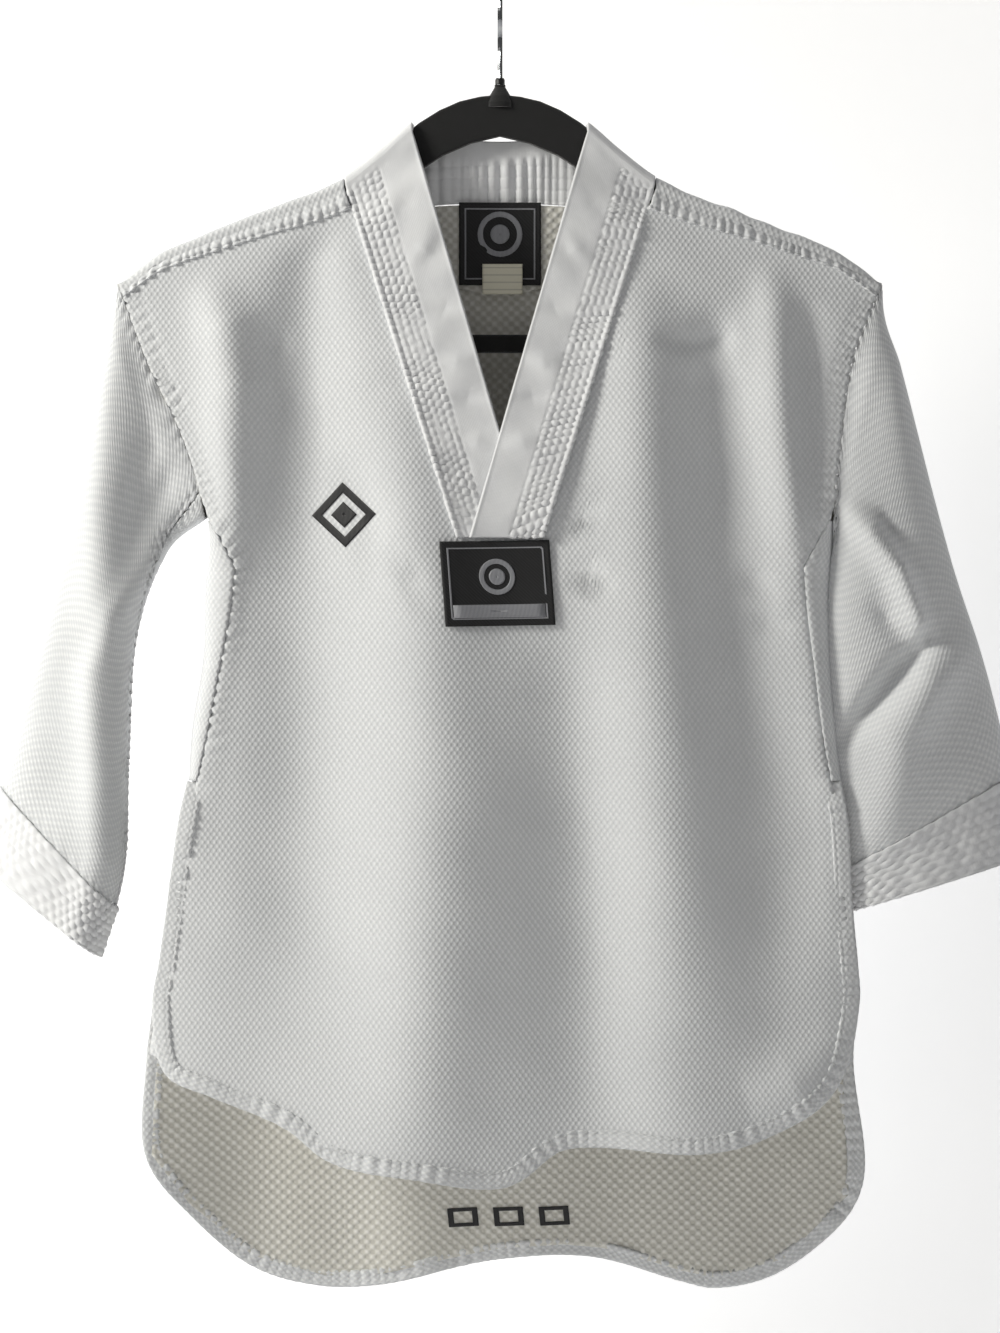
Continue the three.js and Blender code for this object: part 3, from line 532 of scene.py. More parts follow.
HEM_LAP = 7  # the cloth's raw edge ends inside the folded hem, this far short of its edge
x, z = panel(HEAD, [(px, pz + HEM_LAP) for px, pz in FRONT_FOOT])
y = front_y(x, z) - front_seams(x, z)
front = cloth(
    "front_cloth", np.stack([x, y, z], 2), CLOTH, np.stack([x, z], 2), [ribbed_inside, ribbed_outside],
)
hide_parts("front_panel", "front_tail")
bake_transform(front)

# ---- Back cloth ----
# The same cloth, cut 75 mm longer, with its foot in one deep curve. Below the front's hem it
# shows its inner face, where the floats stand up as rows of dots and the white is warmer.
BACK_FOOT = [
    (-232, -700), (-222, -744), (-196, -781), (-157, -816), (-110, -829), (-74, -827), (-34, -818),
    (0, -812), (40, -810), (66, -813), (116, -826), (136, -829), (180, -816), (226, -766), (234, -700),
]
BACK_HEAD = [
    (-238, -199), (-192, -187 + UNDER), (-96, -155 + UNDER), (-88, -154), (-60, -152), (0, -147),
    (60, -152), (88, -154), (96, -155 + UNDER), (192, -186 + UNDER), (238, -199),
]
BACK_FOLDS = [
    [(-60, -560, 24, 0), (-58, -680, 34, -6), (-56, -825, 36, -9)],
    [(66, -560, 24, 0), (68, -680, 34, 5), (70, -825, 36, 7)],
    [(-150, -600, 24, 0), (-160, -720, 30, 5), (-166, -820, 30, 5)],
    [(150, -600, 24, 0), (150, -720, 30, -4), (146, -820, 30, -4)],
    [(-96, -240, 18, 0), (-92, -330, 26, 6), (-84, -460, 30, 5), (-80, -560, 30, 0)],
    [(30, -200, 16, 0), (26, -300, 24, -5), (20, -440, 28, -6), (16, -560, 28, 0)],
    [(118, -220, 16, 0), (122, -320, 24, 6), (126, -440, 28, 5), (120, -560, 26, 0)],
    [(-160, -300, 10, 0), (-120, -350, 14, -3), (-70, -380, 12, 0)],
    [(168, -300, 10, 0), (130, -345, 14, -3), (84, -372, 12, 0)],
]


def back_y(x, z):
    side_fade = ease((np.where(x < 0, edge(-1, z), edge(1, z)) - np.abs(x)) / 26)
    near_top = ease((crest(x) - z - 4) / 40)
    lift = folds(x, z, BACK_FOLDS) * mix(0.3, 1, side_fade) + 0.6 * wander(x, z * 0.6, 50, 21)
    return depth(x, z) + lift * near_top


def back_seams(x, z):
    total = np.zeros_like(x)
    for side in (-1, 1):
        line = [(side * float(seam_edge(side, s)), s) for s in np.linspace(ARMPIT_Z - 6, VENT_Z, 8)]
        total += seam(x, z, line, 51 + side, lift=0.7, pitch=7, reach=9)
        total += seam(x, z, [(px - side * 3, pz) for px, pz in ARMHOLE[side]], 55 + side, sink=0.5, lift=0.8)
    return total


x, z = panel(BACK_HEAD, [(px, pz + HEM_LAP) for px, pz in BACK_FOOT])
y = back_y(x, z) + back_seams(x, z)
back = cloth(
    "back_cloth", np.stack([x, y, z], 2), CLOTH, np.stack([x, z], 2), [ribbed_outside, ribbed_inside],
)
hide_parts("back_panel", "back_tail")
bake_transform(back)

# ---- Side panels ----
# A narrow gusset of the same cloth from the armpit to the top of the vent, sewn flat to
# front and back; the topstitching draws both of its edges up in small creases.
for side, name in ((-1, "left"), (1, "right")):
    z, turn = np.meshgrid(
        np.linspace(ARMPIT_Z - 0.5, VENT_Z, 66), np.linspace(-math.pi / 2, math.pi / 2, 25), indexing="ij",
    )
    inner, outer = seam_edge(side, z), edge(side, z)
    x = inner + (outer - inner) * np.cos(turn) * mix(0.9, 1, ease((z - VENT_Z) / 14))
    rim = np.where(turn < 0, -front_y(side * inner, z), back_y(side * inner, z))
    draw = 0.6 * pucker(z, np.abs(np.abs(turn) - math.pi / 2) * 10, 7, 7, 61 + side)
    y = (rim + draw) * np.sin(turn)
    x = side * (x + 1.2 * wander(z, turn * 9, 60, 63 + side) * np.cos(turn))
    places = np.stack([x, y, z], 2)
    weave = np.stack([turn * 14, z], 2)
    if side > 0:
        places, weave = places[:, ::-1], weave[:, ::-1]
    strip = cloth(f"side_panel_cloth_{name}", places, CLOTH, weave, [ribbed_outside, ribbed_inside])
    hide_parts(f"side_panel_{name}")
    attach(strip, "hanger_and_torso")

# ---- Yokes ----
# A strip of body cloth folded over each hanger arm to take the wear. Its two edges are turned
# under and topstitched, which gathers it into close creases across the shoulder.
COLLAR_IN, COLLAR_OUT = 54, 96
for side, name in ((-1, "left"), (1, "right")):
    round_leg, share = np.meshgrid(
        np.concatenate([np.linspace(-2, -1, 15)[:-1], np.linspace(-1, 1, 17), np.linspace(1, 2, 15)[1:]]),
        np.linspace(0, 1, 118), indexing="ij",
    )
    above = mix(COLLAR_OUT + GAP, TIP_X - GAP, share)
    ridge, wide = crest(above), crest_half(CLOTH)
    leg = np.maximum(np.abs(round_leg) - 1, 0)
    fallen = wide * (1 - np.cos(np.clip(round_leg, -1, 1) * math.pi / 2)) + leg * (mix(19, 8, share) - wide)
    x = above - mix(0.318, 0.308, share) * np.maximum(0, fallen - mix(crest_half(BAND), 0, share))
    z = ridge - fallen
    flat_y = np.where(round_leg < 0, -front_y(side * x, z), back_y(side * x, z)) + 1.3
    over_arm = wide * np.abs(np.sin(np.clip(round_leg, -1, 1) * math.pi / 2))
    y = np.sign(round_leg) * mix(over_arm, flat_y, ease(leg * 1.5))
    from_edge = (1 - leg) * mix(14, 5, share)
    draw = 0.8 * pucker(above, from_edge, 5.5, 11, 71 + side)
    draw += 0.45 * pucker(above, 0, 9.0, 9, 73 + side) * leg
    draw -= 0.7 * np.exp(-((from_edge - 2.0) / 0.9) ** 2) + 0.5 * np.exp(-((from_edge - 7.5) / 0.9) ** 2)
    y += np.sign(round_leg) * draw * ease(leg * 3)
    z += 0.5 * wander(above, 0, 22, 75 + side) * (leg <= 0)
    places, weave = np.stack([side * x, y, z], 2), np.stack([above, fallen * np.sign(round_leg)], 2)
    if side < 0:
        places, weave = places[:, ::-1], weave[:, ::-1]
    strip = cloth(f"yoke_cloth_{name}", places, CLOTH, weave, [ribbed_outside, ribbed_inside])
    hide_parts(f"yoke_{name}")
    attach(strip, "hanger_and_torso")

# ---- Collar bands ----
# Smooth cotton sateen folded over canvas. The outer half is quilted with rows of stitches that
# bunch it into small lumps; the inner half lies plain, with soft creases across it.


def smooth_cotton(name, light, shade, seed):
    material, tree, shader = finish_of(name)
    shader.inputs["Roughness"].default_value = 0.62
    shader.inputs["Specular IOR Level"].default_value = 0.35
    shader.inputs["Sheen Weight"].default_value = 0.15
    shader.inputs["Sheen Roughness"].default_value = 0.4
    place = node(tree, "ShaderNodeTexCoord", {})
    THREAD_MM = 0.9  # real threads are 0.2 mm; drawn coarser so that they show at all
    waves = []
    for direction in ("X", "Y"):
        band = node(tree, "ShaderNodeTexWave", {
            "Vector": place.outputs["UV"], "Scale": 2 * math.pi / 20 / (THREAD_MM * MM), "Distortion": 1.0,
        }, wave_type="BANDS", bands_direction=direction)
        waves.append(band.outputs["Fac"])
    plain = node(tree, "ShaderNodeMath", {0: waves[0], 1: waves[1]}, operation="ADD")
    crease_height_and_shade = node(
        tree, "ShaderNodeTexNoise",
        {"Vector": place.outputs["UV"], "Scale": 55.0, "Detail": 4.0, "W": float(seed)},
        noise_dimensions="4D",
    )
    # Painted shade: the colour follows the soft bump and is darker in its hollows.
    tone = node(
        tree, "ShaderNodeMix", {"Factor": crease_height_and_shade.outputs["Fac"], 6: linear(shade), 7: linear(light)},
        data_type="RGBA",
    )
    tree.links.new(tone.outputs[2], shader.inputs["Base Color"])
    soft = node(
        tree, "ShaderNodeBump", {"Strength": 0.35, "Distance": 0.0012, "Height": crease_height_and_shade.outputs["Fac"]},
    )
    fine = node(
        tree, "ShaderNodeBump",
        {
            "Strength": 0.25, "Distance": 0.00012, "Height": plain.outputs[0],
            "Normal": soft.outputs["Normal"],
        },
    )
    tree.links.new(fine.outputs["Normal"], shader.inputs["Normal"])
    return material


sateen = smooth_cotton("bleached_cotton_sateen", "#F2F3F4", "#DBDCE0", 3)
V_CROSS, V_HALF = 18.5, 27


def quilting(across, along, first, pitch, seed):
    """Rows of stitches pitch apart from a first line on, with the cloth bunched up between them."""
    row = (across - first) / pitch
    inside = ease(row * 4 + 0.6)
    between = np.abs(np.sin(math.pi * np.clip(row, 0, None)))
    number = np.floor(row)
    bunch = pucker(along + 2.3 * number, 0, 5.4, 1, seed)
    fine = wander(along, across * 1.4, 4.6, seed + 5)
    return inside * (0.75 * between - 0.5 + (0.55 * bunch + 0.5 * fine) * (0.35 + 0.65 * between))


for side, name in ((-1, "left"), (1, "right")):
    v, u = np.meshgrid(
        np.concatenate([np.linspace(-0.62, 0, 22)[:-1], np.linspace(0, 1, 215)]), np.linspace(0, 1, 44),
        indexing="ij",
    )
    upper, lower = mix(COLLAR_IN, COLLAR_OUT - GAP, u), mix(-V_CROSS, V_HALF - GAP, u)
    wide, ridge = crest_half(BAND), crest(upper, BAND)
    down = np.clip(v, 0, 1)
    x, z = mix(upper, lower, down), mix(ridge - wide, V_Z, down)
    lap = ease((down - 0.35) / 0.31) * (BAND + GAP) if side > 0 else 0
    y = mix(wide, -front_y(side * x, z) + 1.2 + lap, ease(down / 0.14))
    turn = np.maximum(-v, 0) * math.pi
    y = np.where(v < 0, wide * np.cos(turn), y)
    z = np.where(v < 0, ridge - wide * (1 - np.sin(turn)), z)
    x = np.where(v < 0, upper, x)
    along, across = 265 * v, 42 * u
    stands = quilting(across, along, 22.5, 4.1, 81 + side)
    stands += 0.9 * np.exp(-((across - 41.3) / 0.7) ** 2) + 0.5 * np.exp(-(across / 1.0) ** 2)
    plain = 1 - ease((across - 18) / 8)
    slack = folds(across, along, [
        [(2, 62, 5, 0), (12, 70, 6, 1.6), (22, 74, 5, 0)], [
            (0, 118, 4, 0), (10, 112, 5, -1.4), (22, 104, 5, 0),
        ],
        [(2, 150, 4, 0), (12, 146, 5, 1.5), (24, 138, 5, 0)], [
            (0, 176, 4, 0), (12, 171, 5, -1.6), (24, 165, 4, 0),
        ],
        [
            (4, 206, 4, 0), (14, 200, 5, 1.3), (22, 196, 4, 0),
        ], [(0, 30, 6, 0), (14, 36, 7, -1.2), (24, 40, 6, 0)],
    ])
    stands += plain * (slack + 0.45 * wander(across * 0.8, along, 24, 85 + side))
    y += np.where(v < 0, 0, stands * ease(down / 0.03))
    places, weave = np.stack([side * x, -y, z], 2), np.stack([across, along], 2)
    if side < 0:
        places, weave = places[:, ::-1], weave[:, ::-1]
    band = cloth(f"collar_band_{name}", places[:, ::-1], BAND, weave[:, ::-1], [sateen, sateen])
    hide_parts(f"collar_{name}")
    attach(band, "hanger_and_torso")

# ---- Neckband and facing ----
# The band carries on round the back of the neck, its stitch rows gathering it into upright
# creases. A half-moon of body cloth is sewn under it, on the inside, to carry the labels.
v, x = np.meshgrid(
    np.linspace(0, 1, 44), np.linspace(-(COLLAR_OUT - GAP), COLLAR_OUT - GAP, 170), indexing="ij",
)
far = np.abs(x)
dip = mix(TOP - 26, crest(COLLAR_IN, BAND), (far / COLLAR_IN) ** 2)
upper_edge = np.where(far < COLLAR_IN, dip, crest(x, BAND)) - 2
neck_foot = mix(-146, -154, (np.minimum(far, 90) / 90) ** 2)
lean = x - np.sign(x) * np.maximum(0, far - 90) * v
z = mix(upper_edge, neck_foot, v)
behind = crest_half(BAND) + BAND + GAP
stitched = (upper_edge - z)
y = mix(behind, back_y(lean, z) + 0.4, ease(v))
creases = 0.9 * pucker(x, v * 0, 6.2, 1, 91) * ease((stitched - 8) / 8) + 0.5 * wander(x, z * 0.3, 16, 92)
y -= creases - 0.5 * sum(np.exp(-((neck_foot + gap_up - z) / 0.9) ** 2) for gap_up in (2, 9, 16, 23))
neck = cloth("neckband_cloth", np.stack([lean, y, z], 2), BAND, np.stack([x, z], 2), [sateen, sateen])
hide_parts("back_neckband")
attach(neck, "hanger_and_torso")

v, x = np.meshgrid(np.linspace(0, 1, 40), np.linspace(-84, 84, 110), indexing="ij")
foot = mix(-202.5, -166, (x / 84) ** 2)
z = mix(mix(-147, -153, (x / 84) ** 2), foot, v)
hem_line = np.exp(-((z - foot - 2.5) / 0.9) ** 2)
y = back_y(x, z) - 1.9 + 0.4 * hem_line - 0.35 * pucker(x, z - foot, 6, 6, 95)
facing = cloth(
    "neck_facing_cloth", np.stack([x, y, z], 2), 1.2, np.stack([x, z], 2), [ribbed_inside, ribbed_inside],
)
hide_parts("back_neck_facing")
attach(facing, "hanger_and_torso")

# ---- Sleeves and gussets ----
# Wide three-quarter sleeves of body cloth, cut flat and joined under the arm, with a pointed
# gusset let into that seam. Empty, they hang as flattened tubes with the seam turned forward.
SLEEVE_EDGE = {
    -1: (
        [(0, -235, 0, -198.5), (0.2, -249, 0, -270), (0.5, -273, 4, -381), (0.72, -293, 10, -456), (1, -322, 18, -556)],
        [
            (0, -184, 0, -342), (0.14, -207, -3, -366), (0.3, -224, -8, -412), (0.55, -229, -16, -490),
            (0.8, -232, -24, -562), (1, -247, -30, -611),
        ],
    ),
    1: (
        [(0, 235, 0, -198.5), (0.2, 251, 0, -263), (0.5, 279, 3, -369), (0.72, 303, 10, -443), (1, 329, 18, -552)],
        [
            (0, 205, 0, -347), (0.14, 202, -2, -378), (0.32, 201, -4, -425), (0.5, 205, -5, -480),
            (0.62, 206, -5, -507), (0.8, 210, -6, -545), (1, 214, -8, -586),
        ],
    ),
}
SLEEVE_FOLDS = {
    -1: [
        [
            (-204, -352, 6, 0), (-222, -385, 9, 3), (-237, -408, 9, 5), (-248, -443, 10, 6),
            (-245, -493, 10, 6), (-240, -555, 10, 6), (-252, -608, 9, 4),
        ],
        [(-262, -300, 16, 0), (-262, -400, 16, -3), (-268, -500, 18, -4), (-284, -560, 18, 0)],
        [(-238, -215, 10, 0), (-243, -260, 14, 5), (-247, -330, 16, 8), (-246, -400, 14, 4)],
        [(-198, -296, 6, 0), (-212, -330, 7, -4), (-216, -360, 7, 0)],
        [(-222, -250, 7, 0), (-218, -300, 8, -4), (-224, -350, 8, -3), (-232, -380, 7, 0)],
    ],
    1: [
        [(238, -215, 10, 0), (245, -270, 14, 4), (250, -330, 14, 3), (262, -380, 12, 0)],
        [(210, -335, 8, 2), (226, -352, 9, 11), (244, -376, 9, 15), (256, -408, 8, 13), (258, -420, 5, 4)],
        [(262, -420, 6, -6), (246, -438, 8, -13), (228, -460, 8, -13), (212, -480, 7, -4)],
        [(290, -420, 14, 3), (266, -446, 14, 10), (244, -480, 16, 10), (236, -530, 16, 6)],
        [(232, -336, 4, 0), (240, -350, 4, -2.5), (252, -360, 4, 0)],
        [(240, -366, 4, 0), (250, -372, 4, -2), (262, -372, 4, 0)],
        [(225, -392, 6, 0), (236, -404, 6, -3), (252, -430, 6, 0)],
    ],
}
CUFF_START, GUSSET_END = 0.873, 0.34
SLEEVE_LONG = 371


def sleeve_places(side, s, v, out=0):
    """Middle of the sleeve's cloth: s runs round from the outer edge, by the front, and v down."""
    outer, inner = (
        np.stack([curve(v, [(k[0], k[i]) for k in knots]) for i in (1, 2, 3)], -1)
        for knots in SLEEVE_EDGE[side]
    )
    axis = (outer - inner) / 2
    length2 = (axis ** 2).sum(-1, keepdims=True)
    facing = np.array([0, -1.0, 0]) + axis * axis[..., 1:2] / length2
    facing /= np.linalg.norm(facing, axis=-1, keepdims=True)
    turn = 2 * math.pi * s
    across = np.sign(np.sin(turn)) * np.abs(np.sin(turn)) ** 0.85
    half = curve(v, [(0, 12.5), (0.4, 17), (1, 20)])
    places = (outer + inner) / 2 + axis * np.cos(turn)[..., None]
    front = folds(places[..., 0], places[..., 2], SLEEVE_FOLDS[side]) * np.maximum(across, 0) ** 0.5
    slack = 0.8 * wander(places[..., 0], places[..., 2] * 0.7, 44, 101 + side) * np.abs(across)
    swell = half * across + np.sign(across) * (front * ease(v / 0.08) + slack * ease(v / 0.1) + out)
    places = places + facing * swell[..., None] + axis / np.sqrt(length2) * (np.cos(turn) * (out))[..., None]
    # its head is set into the armhole: it meets the body's edge there, and its front and back faces
    (_, x_out, _, z_out), (_, x_in, _, z_in) = SLEEVE_EDGE[side][0][0], SLEEVE_EDGE[side][1][0]
    x, y, z = places[..., 0], places[..., 1], places[..., 2]
    line = x_out + (x_in - x_out) * (z - z_out) / (z_in - z_out)
    x += ease(1 - v / 0.16) * (side * (edge(side, z) + 0.6) - line)
    body = np.where(across > 0, front_y(side * edge(side, z), z), back_y(side * edge(side, z), z))
    y += ease(1 - v / 0.09) * np.abs(across) ** 0.3 * (body + facing[..., 1] * out * across - y)
    return places


def underarm(v):
    return 0.105 * np.clip(1 - v / GUSSET_END, 0, 1) + 0.003


for side, name in ((-1, "left"), (1, "right")):
    v, t = np.meshgrid(np.linspace(0.002, CUFF_START, 134), np.linspace(0, 1, 122), indexing="ij")
    s = 0.5 + underarm(v) + t * (1 - 2 * underarm(v))
    girth = 190.0
    from_seam = np.minimum(t, 1 - t) * girth
    far = v * SLEEVE_LONG
    draw = 0.9 * pucker(far, from_seam, 6.5, 9, 105 + side) - 0.7 * np.exp(-((from_seam - 3) / 1.2) ** 2)
    draw += 0.9 * pucker(t * girth, far, 6, 9, 107 + side) - 0.6 * np.exp(-((far - 3) / 1.1) ** 2)
    draw += 0.5 * pucker(t * girth, (CUFF_START - v) * SLEEVE_LONG, 6, 6, 109 + side)
    places, weave = sleeve_places(side, s, v, draw), np.stack([t * girth, v * SLEEVE_LONG], 2)
    if side < 0:
        places, weave = places[:, ::-1], weave[:, ::-1]
    tube = cloth(f"sleeve_cloth_{name}", places, CLOTH, weave, [ribbed_outside, ribbed_inside])
    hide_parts(f"sleeve_{name}")
    v, t = np.meshgrid(np.linspace(0.002, GUSSET_END - 0.004, 58), np.linspace(-1, 1, 22), indexing="ij")
    s = 0.5 + t * np.maximum(underarm(v) - 0.004, 0.0015)
    from_seam = (1 - np.abs(t)) * underarm(v) * girth
    draw = 0.8 * pucker(v * SLEEVE_LONG, from_seam, 6.5, 7, 111 + side)
    places, weave = sleeve_places(side, s, v, draw - 0.5), np.stack([t * 20, v * SLEEVE_LONG], 2)
    if side < 0:
        places, weave = places[:, ::-1], weave[:, ::-1]
    wedge = cloth(f"gusset_cloth_{name}", places, CLOTH, weave, [ribbed_outside, ribbed_inside])
    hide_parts(f"sleeve_gusset_{name}")
    for piece in (tube, wedge):
        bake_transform(piece)

# ---- Cuffs ----
# A 47 mm band of sateen folded round each sleeve's end and closed with eight rows of stitches,
# so close that the cloth between them stands up in a fine check.
for side, name in ((-1, "left"), (1, "right")):
    v, s = np.meshgrid(np.linspace(CUFF_START + 0.002, 1.0, 44), np.linspace(0, 1, 190)[:-1], indexing="ij")
    down, round_mm = (v - CUFF_START) * SLEEVE_LONG, s * 200
    rows = np.abs(np.sin(math.pi * down / 5.6))
    bunch = pucker(round_mm + 2.6 * np.floor(down / 5.6), down * 0, 5.4, 1, 121 + side)
    stands = 0.5 * rows + 0.5 * bunch * rows + 0.25 * wander(round_mm, down, 7, 123 + side)
    places = sleeve_places(side, s, v, 0.5 + stands)
    weave = np.stack(
        [np.concatenate([round_mm, round_mm[:, :1] + 200], 1), np.concatenate([down, down[:, :1]], 1)], 2,
    )
    if side < 0:
        places = places[:, ::-1]
    band = cloth(f"cuff_band_{name}", places, BAND, weave, [sateen, sateen], ring=True)
    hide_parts(f"cuff_{name}")
    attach(band, f"sleeve_{name}")

# ---- Hems ----
# The cloth's edge is turned twice to a 9 mm hem down both vents and round the foot. One row of
# stitches draws it up, so that the curved foot ruffles slightly.


def hem(name, line, surface, side, seed, width=10.5):
    line = np.array(line, float)
    steps = np.concatenate([[0], np.cumsum(np.hypot(*np.diff(line, axis=0).T))])
    along = np.arange(0, steps[-1], 2.0)
    x, z = (curve(along, list(zip(steps, line[:, k]))) for k in (0, 1))
    tangent = np.stack([np.gradient(x), np.gradient(z)])
    tangent /= np.hypot(*tangent)
    inward = np.stack([-tangent[1], tangent[0]])
    across, far = np.meshgrid(np.linspace(0, width, 8), along)
    x = x[:, None] + inward[0][:, None] * across
    z = z[:, None] + inward[1][:, None] * across
    ruffle = 0.9 * pucker(far, 0, 6.4, 1, seed) + 0.8 * wander(far, across * 0.5, 34, seed + 1)
    groove = 0.7 * np.exp(-((across - width + 1.8) / 0.8) ** 2)
    ends = ease(np.minimum(far, steps[-1] - far) / 16)  # its ends dip into the side seams
    rise = ends * (0.6 + ruffle * (0.4 + 0.6 * across / width)) - groove - 1.2 * (1 - ends)
    y = surface(x, z) + side * rise
    places, weave = np.stack([x, y, z], 2), np.stack([across, far], 2)
    return cloth(name, places, 2.2, weave, [ribbed_outside, ribbed_outside]), float(steps[-1])


def vent_line(side, top, foot, out):
    inside = {0: -2, 1: -1}  # the hem's head is tucked into the side seam
    levels = enumerate(np.linspace(top, foot, 7))
    return [(side * (float(edge(side, z)) + inside.get(k, out)), z) for k, z in levels]


front_curve = [(px * 0.995, pz) for px, pz in FRONT_FOOT[1:-1]]
line = vent_line(-1, VENT_Z, -640, -1) + front_curve + vent_line(1, VENT_Z, -640, -1)[::-1]
front_edge, long = hem("front_hem_cloth", line, front_y, -1, 131)
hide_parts("front_hem")
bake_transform(front_edge)
line = vent_line(-1, VENT_Z, -680, 3) + BACK_FOOT[1:-1] + vent_line(1, VENT_Z, -680, 3)[::-1]
back_edge, long = hem("back_hem_cloth", line, back_y, 1, 135)
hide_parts("back_hem")
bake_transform(back_edge)

# ---- Chest patch and neck label ----
# Black woven twill, each with a merrowed edge and a fine grey border woven in. Where a maker's
# sign would be there is a plain ring and disc, and the patch has a plain grey band at its foot.
twill, tree, shader = finish_of("black_woven_twill")
shader.inputs["Roughness"].default_value = 0.7
shader.inputs["Sheen Weight"].default_value = 0.1
place = node(tree, "ShaderNodeTexCoord", {})
TWILL_MM = 1.1  # real twill lines are 0.4 mm apart; drawn coarser so that they show
slant = node(tree, "ShaderNodeTexWave", {
    "Vector": place.outputs["UV"], "Scale": 2 * math.pi / 20 / (TWILL_MM * MM), "Distortion": 0.0,
}, wave_type="BANDS", bands_direction="DIAGONAL")
tone = node(
    tree, "ShaderNodeMix", {"Factor": slant.outputs["Fac"], 6: linear("#0B0B0D"), 7: linear("#1A1A1D")},
    data_type="RGBA",
)
tree.links.new(tone.outputs[2], shader.inputs["Base Color"])
ribs = node(tree, "ShaderNodeBump", {"Strength": 0.4, "Distance": 0.00015, "Height": slant.outputs["Fac"]})
tree.links.new(ribs.outputs["Normal"], shader.inputs["Normal"])


def embroidery(name, dark, pale):
    material, tree, shader = finish_of(name)
    shader.inputs["Roughness"].default_value = 0.45
    shader.inputs["Sheen Weight"].default_value = 0.1
    place = node(tree, "ShaderNodeTexCoord", {})
    STRAND_MM = 0.8  # real strands are 0.4 mm; drawn coarser so that they show
    strand = node(tree, "ShaderNodeTexWave", {
        "Vector": place.outputs["UV"], "Scale": 2 * math.pi / 20 / (STRAND_MM * MM), "Distortion": 0.6,
    }, wave_type="BANDS", bands_direction="X")
    tone = node(
        tree, "ShaderNodeMix", {"Factor": strand.outputs["Fac"], 6: linear(dark), 7: linear(pale)},
        data_type="RGBA",
    )
    tree.links.new(tone.outputs[2], shader.inputs["Base Color"])
    ridge = node(
        tree, "ShaderNodeBump", {"Strength": 0.6, "Distance": 0.0002, "Height": strand.outputs["Fac"]},
    )
    tree.links.new(ridge.outputs["Normal"], shader.inputs["Normal"])
    return material


grey_thread = embroidery("grey_rayon_thread", "#77787D", "#A3A4AA")
black_thread = embroidery("black_rayon_thread", "#0A0A0C", "#202024")


def loop(corners, count):
    """Evenly spaced points round a closed outline."""
    corners = np.array(list(corners) + [corners[0]], float)
    run = np.concatenate([[0], np.cumsum(np.hypot(*np.diff(corners, axis=0).T))])
    at = np.linspace(0, run[-1], count, endpoint=False)
    return np.stack([np.interp(at, run, corners[:, k]) for k in (0, 1)], 1)


def oblong(across, up):
    return [(-across / 2, up / 2), (across / 2, up / 2), (across / 2, -up / 2), (-across / 2, -up / 2)]


def disc(radius):
    turns = np.linspace(0, 2 * math.pi, 32, endpoint=False)
    return [(radius * math.sin(a), radius * math.cos(a)) for a in turns]


def laid(name, outline, share, centre, slant, surface, side, out, thick, material):
    """A flat shape on the cloth, from its outline in to a share of it. slant leans it sideways."""
    rings = np.linspace(1, share, 6)[:, None, None] * loop(outline, 96)[None]
    x = centre[0] + rings[..., 0] - slant * rings[..., 1]
    z = centre[1] + rings[..., 1] + slant * 0.25 * rings[..., 0]
    y = surface(x, z) + side * out
    weave = np.concatenate([rings, rings[:, :1]], 1)
    return cloth(name, np.stack([x, y, z], 2), thick, weave, [material, material], ring=True)


def label(name, across, down, centre, slant, surface, side, out, parts):
    u, v = np.meshgrid(np.linspace(-0.5, 0.5, 40), np.linspace(0.5, -0.5, 34))
    x, z = centre[0] + u * across - slant * v * down, centre[1] + v * down + slant * 0.25 * u * across
    edge_roll = np.exp(-(np.minimum((0.5 - np.abs(u)) * across, (0.5 - np.abs(v)) * down) / 1.6) ** 2)
    y = surface(x, z) + side * (out + 0.35 * edge_roll + 0.2 * wander(x, z, 30, 141))
    made = [cloth(name, np.stack([x, y, z], 2), 1.0, np.stack([u * across, v * down], 2), [twill, twill])]
    for number, (outline, share, dx, dz) in enumerate(parts):
        middle = (centre[0] + dx - slant * dz, centre[1] + dz)
        thread = f"{name}_thread_{number}"
        made.append(laid(thread, outline, share, middle, slant, surface, side, out + 0.62, 0.35, grey_thread))
    for piece in made:
        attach(piece, "hanger_and_torso")
    return made


neck_front = lambda x, z: back_y(x, z) - 2.3
patch = label("chest_patch_cloth", 67, 52, (-1.5, -384), 0.075, front_y, -1, 2.2, [
    (
        oblong(59, 44), 1 - 1.0 / 29, 0, 0,
    ), (oblong(56, 8), 0.02, 0, -17), (disc(11), 0.72, 0, 4), (disc(5), 0.02, 0, 4),
])
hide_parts("chest_patch")
tag = label("neck_label_cloth", 51, 51, (0, -171.5), 0.0, neck_front, -1, 0.7, [
    (oblong(44, 44), 1 - 0.9 / 22, 0, 0), (disc(14), 0.76, 0, 6), (disc(6), 0.02, 0, 6),
])
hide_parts("neck_label")

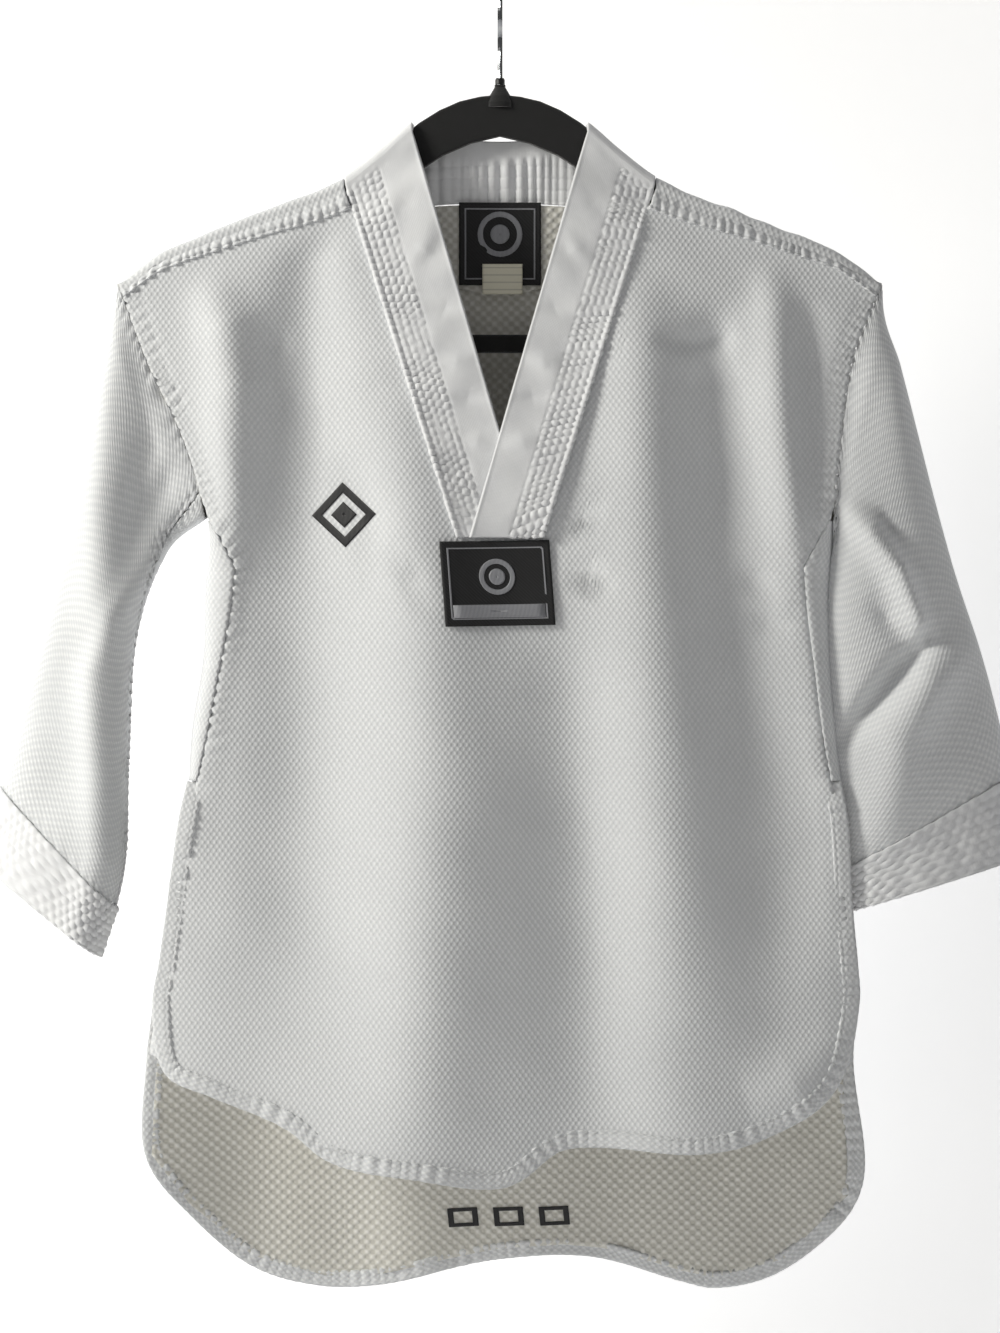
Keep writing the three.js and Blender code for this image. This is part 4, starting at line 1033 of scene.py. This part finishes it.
# ---- Size label ----
# A slip of cream satin tape, heat-cut, caught in the neck label's foot by its upper edge. It
# stands a little proud and curls; fine plain lines stand in for its print.
tape, tree, shader = finish_of("cream_satin_tape")
shader.inputs["Roughness"].default_value = 0.5
place = node(tree, "ShaderNodeTexCoord", {})
LINE_MM = 4.6
lines = node(tree, "ShaderNodeTexWave", {
    "Vector": place.outputs["UV"], "Scale": 2 * math.pi / 20 / (LINE_MM * MM), "Distortion": 0.0,
}, wave_type="BANDS", bands_direction="Y")
print_line = node(
    tree, "ShaderNodeMapRange",
    {"Value": lines.outputs["Fac"], "From Min": 0.86, "From Max": 0.98, "To Max": 0.4},
)
tone = node(
    tree, "ShaderNodeMix", {"Factor": print_line.outputs[0], 6: linear("#EAE6D3"), 7: linear("#8F8C80")},
    data_type="RGBA",
)
tree.links.new(tone.outputs[2], shader.inputs["Base Color"])
threads = node(tree, "ShaderNodeTexNoise", {"Vector": place.outputs["UV"], "Scale": 1600.0})
satin = node(tree, "ShaderNodeBump", {"Strength": 0.2, "Distance": 0.0001, "Height": threads.outputs["Fac"]})
tree.links.new(satin.outputs["Normal"], shader.inputs["Normal"])
label_low, label_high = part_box("size_label")
u, v = np.meshgrid(np.linspace(0, 1, 22), np.linspace(0, 1, 18))
x = mix(label_low.x, label_high.x, u) * 1000
z = mix(label_high.z, label_low.z, v) * 1000
y = (label_low.y + label_high.y) / 2 * 1000 - 1.2 * v ** 2 + 0.8 * np.abs(u - 0.5) * v
slip = cloth("size_label_tape", np.stack([x, y, z], 2), 0.5, np.stack([x, z], 2), [tape, tape])
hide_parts("size_label")
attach(slip, "size_label")

# ---- Embroidery ----
# Satin stitch in black rayon: a plain lozenge on one breast, and three plain outlines near the
# foot of the back, on the face that shows below the front hem.
rim_low, rim_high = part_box("chest_emblem_rim")
breast = ((rim_low.x + rim_high.x) * 500, (rim_low.z + rim_high.z) * 500)
lozenge = [(0, 20), (20, 0), (0, -20), (-20, 0)]
for name, outline, share, node_name in (
    ("emblem_rim_stitching", lozenge, 0.68, "chest_emblem_rim"),
    ("emblem_core_stitching", [(px * 0.4, pz * 0.4) for px, pz in lozenge], 0.02, "chest_emblem_core"),
):
    stitched = laid(name, outline, share, breast, 0.05, front_y, -1, 0.95, 0.7, black_thread)
    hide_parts(node_name)
    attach(stitched, "hanger_and_torso")
for number in (1, 2, 3):
    mark_low, mark_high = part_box(f"tail_mark_{number}")
    centre = ((mark_low.x + mark_high.x) * 500, (mark_low.z + mark_high.z) * 500)
    stitched = laid(
        f"tail_mark_stitching_{number}", oblong(19, 12), 0.62, centre, 0.1, back_y, -1, 1.05, 0.7,
        black_thread,
    )
    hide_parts(f"tail_mark_{number}")
    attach(stitched, "back_tail")
